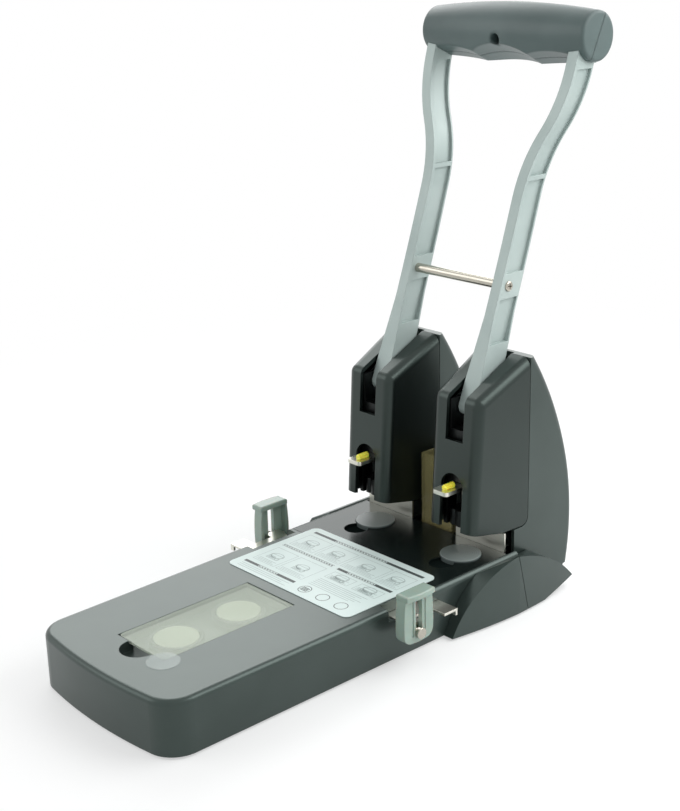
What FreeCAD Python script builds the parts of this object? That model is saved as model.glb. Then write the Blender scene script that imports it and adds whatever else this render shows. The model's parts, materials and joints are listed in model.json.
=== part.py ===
import FreeCAD, Part
import math
import os
import Sketcher
from FreeCAD import Placement, Rotation, Vector

# Two-hole lever punch on a long base: two punching heads, a two-armed lever
# that tips forward, eccentric cutting discs in a black bed, side guides and a
# clear lid over spare discs.
#
# Frame: X to the user's right, Y to the back, Z up.  The origin lies on the
# table, midway between the two punch pins (the pins stand at Y = 0).

# ---------------------------------------------------------------- sizes (mm)
SIZES = {
    # punching geometry
    "hole_spacing": 80.0,       # between the two punch pins
    "paper_margin": 12.0,       # from the pins back to the paper stop
    "pin_diameter": 6.0,
    "pin_wall": 1.0,
    "fit_gap": 0.05,            # radial, turning and sliding fits
    "clearance": 0.3,           # between pieces that only pass each other
    # base
    "base_width": 138.8,
    "base_front": 267.0,        # pins to the middle of the front face
    "front_bow": 7.0,
    "base_taper": 3.0,          # each side draws in by this much at the front
    "base_corner": 19.0,
    "top_round": 3.5,
    "bed_height": 36.0,         # table to the top of the bed
    "rim_height": 1.6,          # table to the lower rim of the base
    "shell_wall": 2.5,
    "base_rear": 20.0,          # pins back to the end of the base shell
    "foot_radius": 8.0,
    "bottom_thick": 2.0,
    # bed, discs and stop
    "bed_front": 59.0,          # pins forward to the front of the black bed
    "bed_side": 3.0,            # width of the shell rim beside the bed
    "bed_thick": 3.0,
    "plate_thick": 5.0,         # steel plate under the bed
    "plate_front": 54.0,
    "disc_radius": 13.6,
    "disc_rise": 1.0,
    "disc_shift_x": 4.4,        # disc centre from the pin, to the right
    "disc_shift_y": 9.0,        # disc centre from the pin, to the front
    "recess_radius": 8.3,
    "recess_step": 18.5,
    "stop_thick": 1.5,
    # disc store and label
    "lid_width": 44.6,
    "lid_length": 98.0,
    "lid_front": 232.5,
    "lid_thick": 1.6,
    "store_depth": 5.0,
    "store_border": 2.4,
    "spare_space": 47.0,
    "notch_radius": 11.5,
    "seal_radius": 10.0,
    "notch_shift": 1.0,         # thumb notch's centre ahead of the lid
    "label_width": 114.2,
    "label_length": 79.0,
    "label_shift": 1.6,         # label centre from the centre plane
    "label_front": 125.0,
    "label_thick": 0.4,
    "label_corner": 5.0,
    # side guides
    "guide_y": 75.5,            # pins forward to the middle of the slides
    "slide_height": 28.6,       # table to the top of the slides
    "slide_thick": 1.5,
    "slide_length": 37.0,
    "slide_reach": 86.0,        # centre plane to the outer end of the tongue
    "slide_inner": 24.0,
    "tongue_width": 11.5,
    "guide_x": 77.5,            # centre plane to the inner rims of the guides
    "guide_depth": 7.5,         # inner rims to the outer face
    "guide_web": 3.2,
    "guide_wall": 2.4,
    "guide_cap": 3.5,           # how far the cap stands out
    "groove_shift": 5.1,        # guide's grooves from its middle
    "guide_width": 24.5,
    "guide_shift": 14.3,
    "guide_height": 32.7,
    "guide_bottom": 18.3,       # table to the lower edge of the guides
    "guide_pull": 4.5,          # the left guide stands out this much further
    "guide_slot": 5.4,
    "knob_rise": 5.7,           # lower edge of a guide up to its knob
    "knob_radius": 3.6,
    "knob_thick": 2.6,
    "tab_drop": 4.5,            # upturned tab at the end of the tongue
    "gap_front": 99.0,          # pins to the front of the side gaps
    "gap_rear": 61.5,
    "gap_depth": 9.4,
    "gap_floor": 28.0,          # table to the floor of the side gaps
    # heads
    "head_front_half": 19.4,
    "head_rear_half": 23.5,
    "head_wall": 2.4,
    "head_toe": 15.0,           # pins forward to the lower front edge
    "head_brow": 9.0,           # pins forward to the upper front edge
    "head_lower": 54.4,
    "head_rise": 18.0,          # pivots up to the upper front edge
    "peak_rise": 39.0,          # pivots up to the top
    "seam_y": 35.3,
    "seam_gap": 0.5,
    "throat_height": 13.4,
    "head_round": 6.5,
    "heel_radius": 6.0,
    "rib_length": 6.0,
    "slot_width": 15.0,
    "slot_drop": 11.0,          # pivots down to the end of the slot
    "arch_width": 18.8,
    "arch_rise": 8.3,           # underside of the ram up to the arch
    "shell_back": 80.0,
    "shell_waist": 93.0,        # table to where the back bends
    "shell_lean": 4.4,          # foot of the back to its bend
    "shell_bulge": 3.2,
    "shell_crown": 5.7,         # depth of the shells at the very top
    "shell_bottom": 8.0,
    "shell_toe": 22.0,
    "shell_round": 5.0,
    # steel frames and lever gear
    "frame_gap": 20.0,
    "frame_thick": 3.0,
    "frame_back": 58.0,
    "frame_front": 6.5,
    "pivot_y": 15.0,
    "pivot_height": 125.0,
    "shaft_radius": 4.0,
    "spacer_radius": 6.5,
    "crank_radius": 12.0,
    "lever_travel": 85.0,       # degrees
    "drive_radius": 3.0,
    "hub_radius": 8.0,
    "ram_half": 9.5,
    "ram_cheek": 2.5,
    "ram_front": 6.0,
    "ram_back": 8.0,
    "ram_drop": 41.0,           # pivots down to the underside of the ram
    "ram_block": 36.0,
    "lip_drop": 0.6,            # ram's rails below the release tab
    "stop_gap": 0.5,            # ram to its pin guide at the end of the stroke
    "guide_length": 11.0,
    "sleeve_radius": 6.5,
    "tab_width": 12.6,
    "tab_thick": 2.7,
    "tab_reach": 25.0,
    "latch_radius": 2.1,
    "latch_length": 9.0,
    # lever arms and grip
    "arm_lean": 18.7,           # degrees back from upright
    "arm_depth": 20.0,
    "arm_top_depth": 17.0,
    "arm_low_width": 13.0,
    "arm_width": 7.6,
    "arm_web": 3.4,
    "arm_rim": 2.6,
    "arm_rear_rim": 1.2,
    "arm_bow": 3.0,             # how far the arms bow to the rear
    "rib_drop": 86.0,           # grip down to the ribs
    "rib_thick": 3.0,
    "arm_splay": 20.0,
    "splay_drop": 16.0,         # grip down to the end of the splay
    "splay_length": 82.0,
    "taper_end": 190.0,
    "grip_y": 88.5,
    "grip_height": 360.0,
    "grip_half": 68.0,
    "grip_end_radius": 15.5,
    "grip_mid_radius": 19.5,
    "grip_tilt": 25.0,          # degrees, parting plane from upright
    "grip_mid_groove": 4.0,
    "grip_end_groove": 1.5,
    "grip_ridge": 23.0,         # centre plane to the grip's finger ridges
    "grip_split": 0.25,
    "grip_hole_radius": 3.9,
    "hole_drop": 9.5,           # degrees, screw hole below the level
    "bar_radius": 3.2,
    "bar_inset": 7.7,           # front of the arms back to the crossbar
    "bar_height": 207.8,
    # side fairings and rear cover
    "fairing_front": 51.5,
    "fairing_top": 42.0,
    "fairing_crest": 5.0,
    "fairing_rear": 64.0,
    "fairing_reach": 83.5,
    "fairing_nose_reach": 76.5,
    "fairing_tail_reach": 79.5,
    "fairing_tip": 8.5,
    "fairing_lift": 32.0,       # length over which the tail lifts off the table
    "tail_rise": 5.4,
    "left_drop": 7.5,           # left fairing's outer edge below the bed's top
    "crest_drop": 8.0,          # outer crest down to its inner edge
    "seam_top_y": 4.0,
    "seam_foot_y": 14.0,
    "cover_back": 78.0,
    "cover_round": 8.0,
    "box_width": 28.0,
    "box_front": 15.0,
    "box_depth": 25.0,
    "box_top": 85.5,
    "box_wall": 1.6,
    "shelf_rise": 33.0,         # table to the top of the centre cover
}

doc = FreeCAD.newDocument("LeverPunch")
sheet = doc.addObject("Spreadsheet::Sheet", "Dims")
for row, (alias, size) in enumerate(SIZES.items(), start=1):
    sheet.set("A%d" % row, alias)
    sheet.set("B%d" % row, str(size))
    sheet.setAlias("B%d" % row, alias)
doc.recompute()


def size(expression):
    """The number that an expression on the sheet comes to."""
    answer = sheet.evalExpression(str(expression))
    return float(getattr(answer, "Value", answer))


# ------------------------------------------------ places worked out from sizes
PIN_X = "(Dims.hole_spacing / 2)"
BASE_HALF = "(Dims.base_width / 2)"
BED = "Dims.bed_height"
RIM = "Dims.rim_height"
WALL = "Dims.shell_wall"
GAP = "Dims.clearance"
BED_HALF = f"({BASE_HALF} - Dims.bed_side)"
BED_UNDER = f"({BED} - Dims.bed_thick)"
PLATE_UNDER = f"({BED_UNDER} - Dims.plate_thick)"
HEAD_UNDER = f"({BED} + Dims.throat_height)"
HALF_TRAVEL = "(Dims.lever_travel / 2 * 1deg)"
CRANK_Y = f"(Dims.pivot_y - Dims.crank_radius * cos{HALF_TRAVEL})"
CRANK_Z = f"(Dims.pivot_height + Dims.crank_radius * sin{HALF_TRAVEL})"
STROKE = f"(2 * Dims.crank_radius * sin{HALF_TRAVEL})"
PIN_TIP = f"({BED} + Dims.disc_rise + {GAP} + {STROKE})"
SLIDE_UNDER = "(Dims.slide_height - Dims.slide_thick)"
HEAD_UPPER = "(Dims.pivot_height + Dims.head_rise)"
HEAD_PEAK = "(Dims.pivot_height + Dims.peak_rise)"
SLOT_BOTTOM = "(Dims.pivot_height - Dims.slot_drop)"
RAM_BOTTOM = "(Dims.pivot_height - Dims.ram_drop)"
ARCH_TOP = f"({RAM_BOTTOM} + Dims.arch_rise)"
LIP_FOOT = f"({RAM_BOTTOM} - Dims.tab_thick - Dims.lip_drop)"
GUIDE_TOP = f"({LIP_FOOT} - {STROKE} - Dims.stop_gap)"
GUIDE_FOOT = f"({GUIDE_TOP} - Dims.guide_length)"
RIBS_TOP = f"({GUIDE_TOP} + 40)"
ROUND_RISE = "(1 - sqrt(0.5))"    # rise of a quarter circle over its radius
PLANES = {"XY": "XY_Plane", "XZ": "XZ_Plane", "YZ": "YZ_Plane"}
nodes = []


# ------------------------------------------------------------- drawing helpers
def new_body(label, x="0", y="0", z="0"):
    """A body whose own origin is placed by expressions."""
    body = doc.addObject("PartDesign::Body", label)
    body.Label = label
    for axis, place in (("x", x), ("y", y), ("z", z)):
        body.setExpression("Placement.Base." + axis, place)
    nodes.append(body)
    return body


def new_sketch(body, plane, height="0"):
    """A sketch on one of the body's origin planes, moved along its normal."""
    sketch = body.newObject("Sketcher::SketchObject", body.Name + "_sketch")
    role = PLANES[plane]
    support = [part for part in body.Origin.OriginFeatures if part.Role == role][0]
    sketch.AttachmentSupport = [(support, "")]
    sketch.MapMode = "FlatFace"
    sign = "-" if plane == "XZ" else ""
    sketch.setExpression("AttachmentOffset.Base.z", f"{sign}({height})")
    return sketch


def tie(sketch, kind, geometry, point, expression):
    """Pins one coordinate or radius of a sketch to an expression."""
    if point is None:
        rule = Sketcher.Constraint(kind, geometry, size(expression))
    else:
        rule = Sketcher.Constraint(kind, geometry, point, size(expression))
    index = sketch.addConstraint(rule)
    sketch.setExpression("Constraints[%d]" % index, expression)


def outline(sketch, corners):
    """A closed outline.  A corner is (x, y) or (x, y, rise): with a rise, the
    side that follows is an arc that stands that far to the right of its chord."""
    first = sketch.GeometryCount
    count = len(corners)
    ends = []
    for index, corner in enumerate(corners):
        here = Vector(size(corner[0]), size(corner[1]), 0)
        after = corners[(index + 1) % count]
        there = Vector(size(after[0]), size(after[1]), 0)
        if len(corner) == 2:
            sketch.addGeometry(Part.LineSegment(here, there), False)
            ends.append((1, 2))
            continue
        rise = size(corner[2])
        chord = there - here
        side = Vector(chord.y, -chord.x, 0).normalize()
        middle = (here + there) * 0.5 + side * rise
        if rise > 0:
            sketch.addGeometry(Part.Arc(here, middle, there), False)
            ends.append((1, 2))
        else:
            sketch.addGeometry(Part.Arc(there, middle, here), False)
            ends.append((2, 1))
    for index in range(count):
        after = (index + 1) % count
        sketch.addConstraint(Sketcher.Constraint(
            "Coincident", first + index, ends[index][1], first + after, ends[after][0]))
    for index, corner in enumerate(corners):
        start = ends[index][0]
        tie(sketch, "DistanceX", first + index, start, corner[0])
        tie(sketch, "DistanceY", first + index, start, corner[1])
        if len(corner) == 3:
            after = corners[(index + 1) % count]
            chord2 = f"((({after[0]}) - ({corner[0]}))^2 + (({after[1]}) - ({corner[1]}))^2)"
            rise = f"abs({corner[2]})"
            tie(sketch, "Radius", first + index, None, f"{chord2} / 8 / {rise} + {rise} / 2")


def rectangle(sketch, x_low, x_high, y_low, y_high):
    outline(sketch, [(x_low, y_low), (x_high, y_low), (x_high, y_high), (x_low, y_high)])


def circle(sketch, x, y, radius):
    index = sketch.addGeometry(
        Part.Circle(Vector(size(x), size(y), 0), Vector(0, 0, 1), size(radius)), False)
    tie(sketch, "DistanceX", index, 3, x)
    tie(sketch, "DistanceY", index, 3, y)
    tie(sketch, "Radius", index, None, radius)


def grow(body, kind, plane, low, high, draw):
    """A pad or pocket between two heights along the plane's own axis."""
    start = high if plane == "XZ" else low
    before = body.Tip.Shape.Volume if kind == "Pocket" else 0.0
    sketch = new_sketch(body, plane, start)
    draw(sketch)
    feature = body.newObject("PartDesign::" + kind, body.Name + "_" + kind.lower())
    feature.Profile = sketch
    feature.setExpression("Length", f"({high}) - ({low})")
    feature.Reversed = kind == "Pocket"
    doc.recompute()
    if kind == "Pocket" and feature.Shape.Volume > before - 0.01:
        raise ValueError(body.Label + ": a pocket cuts nothing")
    return feature


def pad(body, plane, low, high, draw):
    return grow(body, "Pad", plane, low, high, draw)


def pocket(body, plane, low, high, draw):
    return grow(body, "Pocket", plane, low, high, draw)


def block(body, x_low, x_high, y_low, y_high, low, high):
    return pad(body, "XY", low, high, lambda s: rectangle(s, x_low, x_high, y_low, y_high))


def hollow(body, x_low, x_high, y_low, y_high, low, high):
    return pocket(body, "XY", low, high, lambda s: rectangle(s, x_low, x_high, y_low, y_high))


def rod(body, plane, low, high, x, y, radius):
    return pad(body, plane, low, high, lambda s: circle(s, x, y, radius))


def bore(body, plane, low, high, x, y, radius):
    return pocket(body, plane, low, high, lambda s: circle(s, x, y, radius))


def round_edges(body, radius, choose):
    """Fillets the edges whose middle point and direction a rule picks."""
    base = body.Tip
    picked = []
    for index, edge in enumerate(base.Shape.Edges, start=1):
        middle = edge.valueAt((edge.FirstParameter + edge.LastParameter) / 2)
        along = edge.tangentAt((edge.FirstParameter + edge.LastParameter) / 2)
        if choose(middle, along):
            picked.append("Edge%d" % index)
    if not picked:
        raise ValueError(body.Label + ": no edge to round")
    fillet = body.newObject("PartDesign::Fillet", body.Name + "_fillet")
    fillet.Base = (base, picked)
    fillet.setExpression("Radius", radius)
    doc.recompute()
    return fillet


def near(value, target, reach=0.05):
    return abs(value - target) < reach


def upright(along):
    return abs(along.z) > 0.9


# ------------------------------------------------------------------- the base
FRONT_HALF = f"({BASE_HALF} - Dims.base_taper)"
BOW = f"(({BASE_HALF}^2 + Dims.front_bow^2) / (2 * Dims.front_bow))"
BOW_Y = f"({BOW} - Dims.base_front)"
CORNER_X = f"({FRONT_HALF} - Dims.base_corner)"
CORNER_Y = f"({BOW_Y} - sqrt(({BOW} - Dims.base_corner)^2 - {CORNER_X}^2))"


def base_outline(inset):
    """Plan of the base, drawn in by an inset: sides that taper a little ahead
    of the fairings, a bowed front and round front corners."""
    wide = f"({BASE_HALF} - {inset})"
    half = f"({FRONT_HALF} - {inset})"
    bend = "-Dims.fairing_front"
    rear = f"(Dims.base_rear - {inset})"
    reach = f"(({BOW} - {inset}) / ({BOW} - Dims.base_corner))"
    x = f"({CORNER_X} * {reach})"
    y = f"({BOW_Y} - ({BOW_Y} - {CORNER_Y}) * {reach})"
    turn = f"(Dims.base_corner - {inset})"
    chord2 = f"(({half} - {x})^2 + ({CORNER_Y} - {y})^2)"
    corner_rise = f"({turn} - sqrt({turn}^2 - {chord2} / 4))"
    bow_rise = f"({BOW} - {inset} - sqrt(({BOW} - {inset})^2 - {x}^2))"
    return [(f"-{wide}", rear), (f"-{wide}", bend), (f"-{half}", CORNER_Y, corner_rise),
            (f"-{x}", y, bow_rise), (x, y, corner_rise), (half, CORNER_Y), (wide, bend), (wide, rear)]


def make_base_shell():
    body = new_body("base_shell")
    pad(body, "XY", RIM, BED, lambda s: outline(s, base_outline("0")))
    rear = size("Dims.base_rear")
    top = size(BED)
    round_edges(body, "Dims.top_round",
                lambda m, a: near(m.z, top) and m.y < rear - 1)
    under = f"({BED} - {WALL})"
    pocket(body, "XY", RIM, under, lambda s: outline(s, base_outline(WALL)))
    hollow(body, f"-{BED_HALF}", BED_HALF, "-Dims.bed_front", "Dims.base_rear", under, BED)
    hollow(body, f"-{BED_HALF}", BED_HALF, f"Dims.base_rear - {WALL} - 1", "Dims.base_rear",
           PLATE_UNDER, BED)
    ledge_top = PLATE_UNDER
    for side in ("-", ""):
        edges = sorted([f"{side}({BASE_HALF} - {WALL})", f"{side}({BED_HALF} - 8)"], key=size)
        block(body, edges[0], edges[1], "-Dims.bed_front", f"Dims.base_rear - {WALL}",
              f"{ledge_top} - 4", ledge_top)
    make_store(body)
    make_side_gaps(body)
    for side in ("-", ""):
        edges = sorted([f"{side}({BASE_HALF} + 1)", f"{side}({GAP_INNER} - {WALL} - 1)"], key=size)
        hollow(body, edges[0], edges[1],
               f"-Dims.guide_y - Dims.slide_length / 2 - {GAP}",
               f"-Dims.guide_y + Dims.slide_length / 2 + {GAP}",
               f"{SLIDE_UNDER} - {GAP}", f"Dims.slide_height + {GAP}")
    return body


GAP_INNER = f"({BASE_HALF} - Dims.gap_depth)"


def make_side_gaps(body):
    """The gaps in the top's side edges that show the slides, each a tray."""
    for side in ("-", ""):
        tray = sorted([f"{side}({GAP_INNER} - {WALL})", f"{side}({BASE_HALF} - {WALL} / 2)"], key=size)
        block(body, tray[0], tray[1], f"-Dims.gap_front - {WALL}", f"-Dims.gap_rear + {WALL} - 0.5",
              f"{SLIDE_UNDER} - {GAP} - {WALL}", f"{BED} - {WALL}")
        gap = sorted([f"{side}{GAP_INNER}", f"{side}({BASE_HALF} + 1)"], key=size)
        hollow(body, gap[0], gap[1], "-Dims.gap_front", "-Dims.gap_rear", "Dims.gap_floor", BED)


LID_HALF = "(Dims.lid_width / 2)"
NOTCH_Y = "(-Dims.lid_front - Dims.notch_shift)"
LID_REAR = "(Dims.lid_length - Dims.lid_front)"
STORE_FLOOR = f"({BED} - Dims.lid_thick - Dims.store_depth)"


def make_store(body):
    """The well for spare discs: a box hung under the top, open to the lid."""
    rim = f"({LID_HALF} + Dims.store_border)"
    block(body, f"-{rim}", rim,
          f"{NOTCH_Y} - Dims.notch_radius - Dims.store_border", f"{LID_REAR} + Dims.store_border",
          f"{STORE_FLOOR} - {WALL}", f"{BED} - {WALL}")
    hollow(body, f"-{LID_HALF} - {GAP}", f"{LID_HALF} + {GAP}",
           f"-Dims.lid_front - {GAP}", f"{LID_REAR} + {GAP}", f"{BED} - Dims.lid_thick", BED)
    bore(body, "XY", STORE_FLOOR, BED, "0", NOTCH_Y, "Dims.notch_radius")
    inner = f"({LID_HALF} - Dims.store_border)"
    hollow(body, f"-{inner}", inner,
           f"-Dims.lid_front + Dims.store_border", f"{LID_REAR} - Dims.store_border",
           STORE_FLOOR, f"{BED} - Dims.lid_thick")


def make_bottom_plate():
    body = new_body("bottom_plate")
    outline_points = base_outline(f"({WALL} + {GAP})")
    pad(body, "XY", RIM, f"{RIM} + Dims.bottom_thick", lambda s: outline(s, outline_points))


def make_feet():
    body = new_body("feet")
    front = "(-Dims.base_front + Dims.base_corner + Dims.foot_radius + 8)"
    rear = f"(Dims.cover_back - Dims.foot_radius - {WALL} - 2)"
    middle = f"(({front}) + ({rear})) / 2"
    out = f"({BASE_HALF} - Dims.foot_radius - 10)"

    def draw(sketch):
        for y in (front, middle, rear):
            circle(sketch, out, y, "Dims.foot_radius")
            circle(sketch, f"-{out}", y, "Dims.foot_radius")
    pad_group(body, "0", RIM, draw)
    strip_half = "Dims.foot_radius"
    block(body, f"-2 * {strip_half}", f"2 * {strip_half}", f"-{strip_half}", strip_half, "0", RIM)


def pad_group(body, low, high, draw):
    """A group of separate like solids, padded from one sketch."""
    body.AllowCompound = True
    return pad(body, "XY", low, high, draw)


def make_bed():
    """The black bed with its two disc seats and thumb recesses."""
    body = new_body("bed")
    block(body, f"-{BED_HALF} + {GAP}", f"{BED_HALF} - {GAP}",
          f"-Dims.bed_front + {GAP}", "Dims.paper_margin", BED_UNDER, BED)
    for side in ("-", ""):
        x = f"({side}{PIN_X} + Dims.disc_shift_x)"
        bore(body, "XY", BED_UNDER, BED, x, "-Dims.disc_shift_y", f"Dims.disc_radius + {GAP}")
        bore(body, "XY", f"{BED_UNDER} + 1", BED, x, "-Dims.disc_shift_y - Dims.recess_step",
             "Dims.recess_radius")

    plate = new_body("bed_plate")
    block(plate, f"-{BED_HALF} + {GAP}", f"{BED_HALF} - {GAP}",
          "-Dims.plate_front", "Dims.base_rear", PLATE_UNDER, BED_UNDER)
    for side in ("-", ""):
        edges = sorted([f"{side}({PIN_X} - Dims.frame_gap / 2 - Dims.frame_thick - 1)",
                        f"{side}({PIN_X} + Dims.frame_gap / 2 + Dims.frame_thick + 1)"], key=size)
        block(plate, edges[0], edges[1], "Dims.base_rear - 1", "Dims.frame_back", PLATE_UNDER, BED_UNDER)


def make_discs():
    for name, side in (("left", "-"), ("right", "")):
        body = new_body(f"cutting_disc_{name}", f"{side}{PIN_X} + Dims.disc_shift_x",
                        "-Dims.disc_shift_y", BED_UNDER)
        rod(body, "XY", "0", "Dims.bed_thick + Dims.disc_rise", "0", "0", "Dims.disc_radius")
        bottom = 0.2
        round_edges(body, "0.5", lambda m, a: m.z > bottom and not upright(a))

    spare = new_body("spare_discs")
    middle = "(-Dims.lid_front + Dims.lid_length / 2)"

    def draw(sketch):
        circle(sketch, "0", f"{middle} - Dims.spare_space / 2", "Dims.disc_radius")
        circle(sketch, "0", f"{middle} + Dims.spare_space / 2", "Dims.disc_radius")
    pad_group(spare, STORE_FLOOR, f"{STORE_FLOOR} + Dims.bed_thick + Dims.disc_rise", draw)


def make_lid():
    body = new_body("store_lid")
    half = "Dims.lid_thick / 2"
    hinge = f"{LID_REAR} - {half}"
    pad(body, "YZ", f"-{LID_HALF}", LID_HALF, lambda s: outline(s, [
        ("-Dims.lid_front", f"{BED} - Dims.lid_thick"), (hinge, f"{BED} - Dims.lid_thick", f"{half} * 0.999"),
        (hinge, BED), ("-Dims.lid_front", BED)]))
    front = -size("Dims.lid_front")
    round_edges(body, "3.5", lambda m, a: upright(a) and near(m.y, front))

    seal = new_body("lid_seal")
    rod(seal, "XY", BED, f"{BED} + 0.25", "Dims.lid_width / 2 + 0.6", "-Dims.lid_front - 0.6",
        "Dims.seal_radius")


def make_label():
    body = new_body("label_panel")
    half = "Dims.label_width / 2"
    block(body, f"Dims.label_shift - {half}", f"Dims.label_shift + {half}",
          "-Dims.label_front", "-Dims.label_front + Dims.label_length",
          BED, f"{BED} + Dims.label_thick")
    round_edges(body, "Dims.label_corner", lambda m, a: upright(a))


def make_stop():
    """The paper stop: one upright strip behind each punch, on the bed plate."""
    body = new_body("paper_stop")
    body.AllowCompound = True
    inner = f"({PIN_X} - Dims.head_front_half)"
    outer = f"({PIN_X} + Dims.head_rear_half)"
    stop_top = f"({HEAD_UNDER} - {GAP})"
    for name in ("left", "right"):
        low, high = (inner, outer) if name == "right" else (f"-{outer}", f"-{inner}")
        block(body, low, high, f"Dims.paper_margin + {GAP} / 2",
              "Dims.paper_margin + Dims.stop_thick", BED_UNDER, stop_top)


# ------------------------------------------------------------------ side guides
def make_guide(name):
    """A steel slide, its plastic paper guide and the clamping knob.  The left
    set is the right one turned half way round about the slides' middle."""
    turn = 180.0 if name == "left" else 0.0
    x = "-Dims.guide_pull" if name == "left" else "0"
    outer = "(Dims.guide_x + Dims.guide_depth)"
    web = f"({outer} - Dims.guide_web)"
    flange = f"({web} - {GAP})"
    middle = "(-Dims.guide_shift)"
    floor = "Dims.guide_bottom"
    knob_z = f"({floor} + Dims.knob_rise)"
    stem = f"(Dims.guide_slot / 2 - {GAP})"

    slide = new_body(f"guide_slide_{name}", x, "-Dims.guide_y")
    half = "Dims.slide_length / 2"
    tongue = f"({half} - Dims.tongue_width)"
    plate_end = f"({BASE_HALF} + 5)"
    reach = "Dims.slide_reach"
    thick = "Dims.slide_thick"
    ear = (f"{middle} - 6", f"{middle} + 6")
    block(slide, "Dims.slide_inner", plate_end, f"-{half}", half, SLIDE_UNDER, "Dims.slide_height")
    block(slide, plate_end, flange, ear[0], ear[1], SLIDE_UNDER, "Dims.slide_height")
    block(slide, plate_end, reach, tongue, half, SLIDE_UNDER, "Dims.slide_height")
    block(slide, f"{reach} - 2 * {thick}", reach, f"{half} - {thick}", half,
          "Dims.slide_height - Dims.tab_drop", SLIDE_UNDER)
    block(slide, f"{flange} - {thick}", flange, ear[0], ear[1], f"{knob_z} - {stem} - 1", SLIDE_UNDER)
    bore(slide, "YZ", f"{flange} - {thick}", flange, middle, knob_z, stem)

    guide = new_body(f"paper_guide_{name}", x, "-Dims.guide_y")
    low = f"({middle} - Dims.guide_width / 2)"
    high = f"({middle} + Dims.guide_width / 2)"
    top = "(Dims.guide_bottom + Dims.guide_height)"
    waist = f"({floor} + 6)"
    crown = f"({top} - 3.5)"
    pad(guide, "YZ", "Dims.guide_x", outer, lambda s: outline(s, [
        (f"{low} + 5", floor, "0.5"), (f"{high} - 5", floor, "1.4"), (high, waist, "0.5"),
        (f"{high} - 1", crown), (f"{low} + 1", crown, "0.5"), (low, waist, "1.4")]))
    pad(guide, "XY", crown, top, lambda s: outline(s, [
        ("Dims.guide_x", f"{low} + 0.5"), (f"{outer} + Dims.guide_cap - 1.5", f"{low} + 0.5", "1.5"),
        (f"{outer} + Dims.guide_cap - 1.5", f"{high} - 0.5"), ("Dims.guide_x", f"{high} - 0.5")]))
    round_edges(guide, "1.2", lambda m, a: near(m.z, size(top)) and not upright(a))
    wall = "Dims.guide_wall"
    hollow(guide, "Dims.guide_x - 1", web, f"{low} + {wall}", f"{high} - {wall}", f"{floor} + 2", crown)
    slot = "Dims.guide_slot / 2"
    hollow(guide, f"{web} - 1", f"{outer} + 1", f"{middle} - {slot}", f"{middle} + {slot}",
           f"{knob_z} - {slot}", f"{crown} - 1")
    for side in ("-", "+"):
        groove = f"({middle} {side} Dims.groove_shift)"
        hollow(guide, f"{outer} - 0.5", f"{outer} + 1", f"{groove} - 0.6", f"{groove} + 0.6",
               f"{floor} + 4", f"{crown} - 1")

    knob = new_body(f"guide_knob_{name}", x, "-Dims.guide_y")
    face = f"({outer} + {GAP})"
    cap = f"({face} + Dims.knob_thick)"
    rod(knob, "YZ", f"{flange} - {thick}", face, middle, knob_z, stem)
    rod(knob, "YZ", face, cap, middle, knob_z, "Dims.knob_radius")
    round_edges(knob, "0.6", lambda m, a: near(m.x, size(cap)))

    for body in (slide, guide, knob):
        body.Placement = Placement(body.Placement.Base, Rotation(Vector(0, 0, 1), turn))


# ------------------------------------------------------------ punching heads
def head_side(inset):
    """Side view of a head casing, drawn in from the front and the top."""
    toe = f"(-Dims.head_toe + {inset})"
    brow = f"(-Dims.head_brow + {inset})"
    upper = f"({HEAD_UPPER} - {inset})"
    peak = f"({HEAD_PEAK} - {inset})"
    return toe, brow, upper, peak


def add_ribs(body, inner, y, heights):
    """Short ribs inside a head that hold it to the steel frame's cheeks."""
    cheek = "(Dims.frame_gap / 2 + Dims.frame_thick + Dims.fit_gap)"
    for side in ("-", ""):
        edges = sorted([f"{side}{cheek}", f"{side}({inner} + 0.5)"], key=size)
        for height in heights:
            block(body, edges[0], edges[1], y, f"{y} + Dims.rib_length", height, f"{height} + Dims.rib_length")


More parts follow.
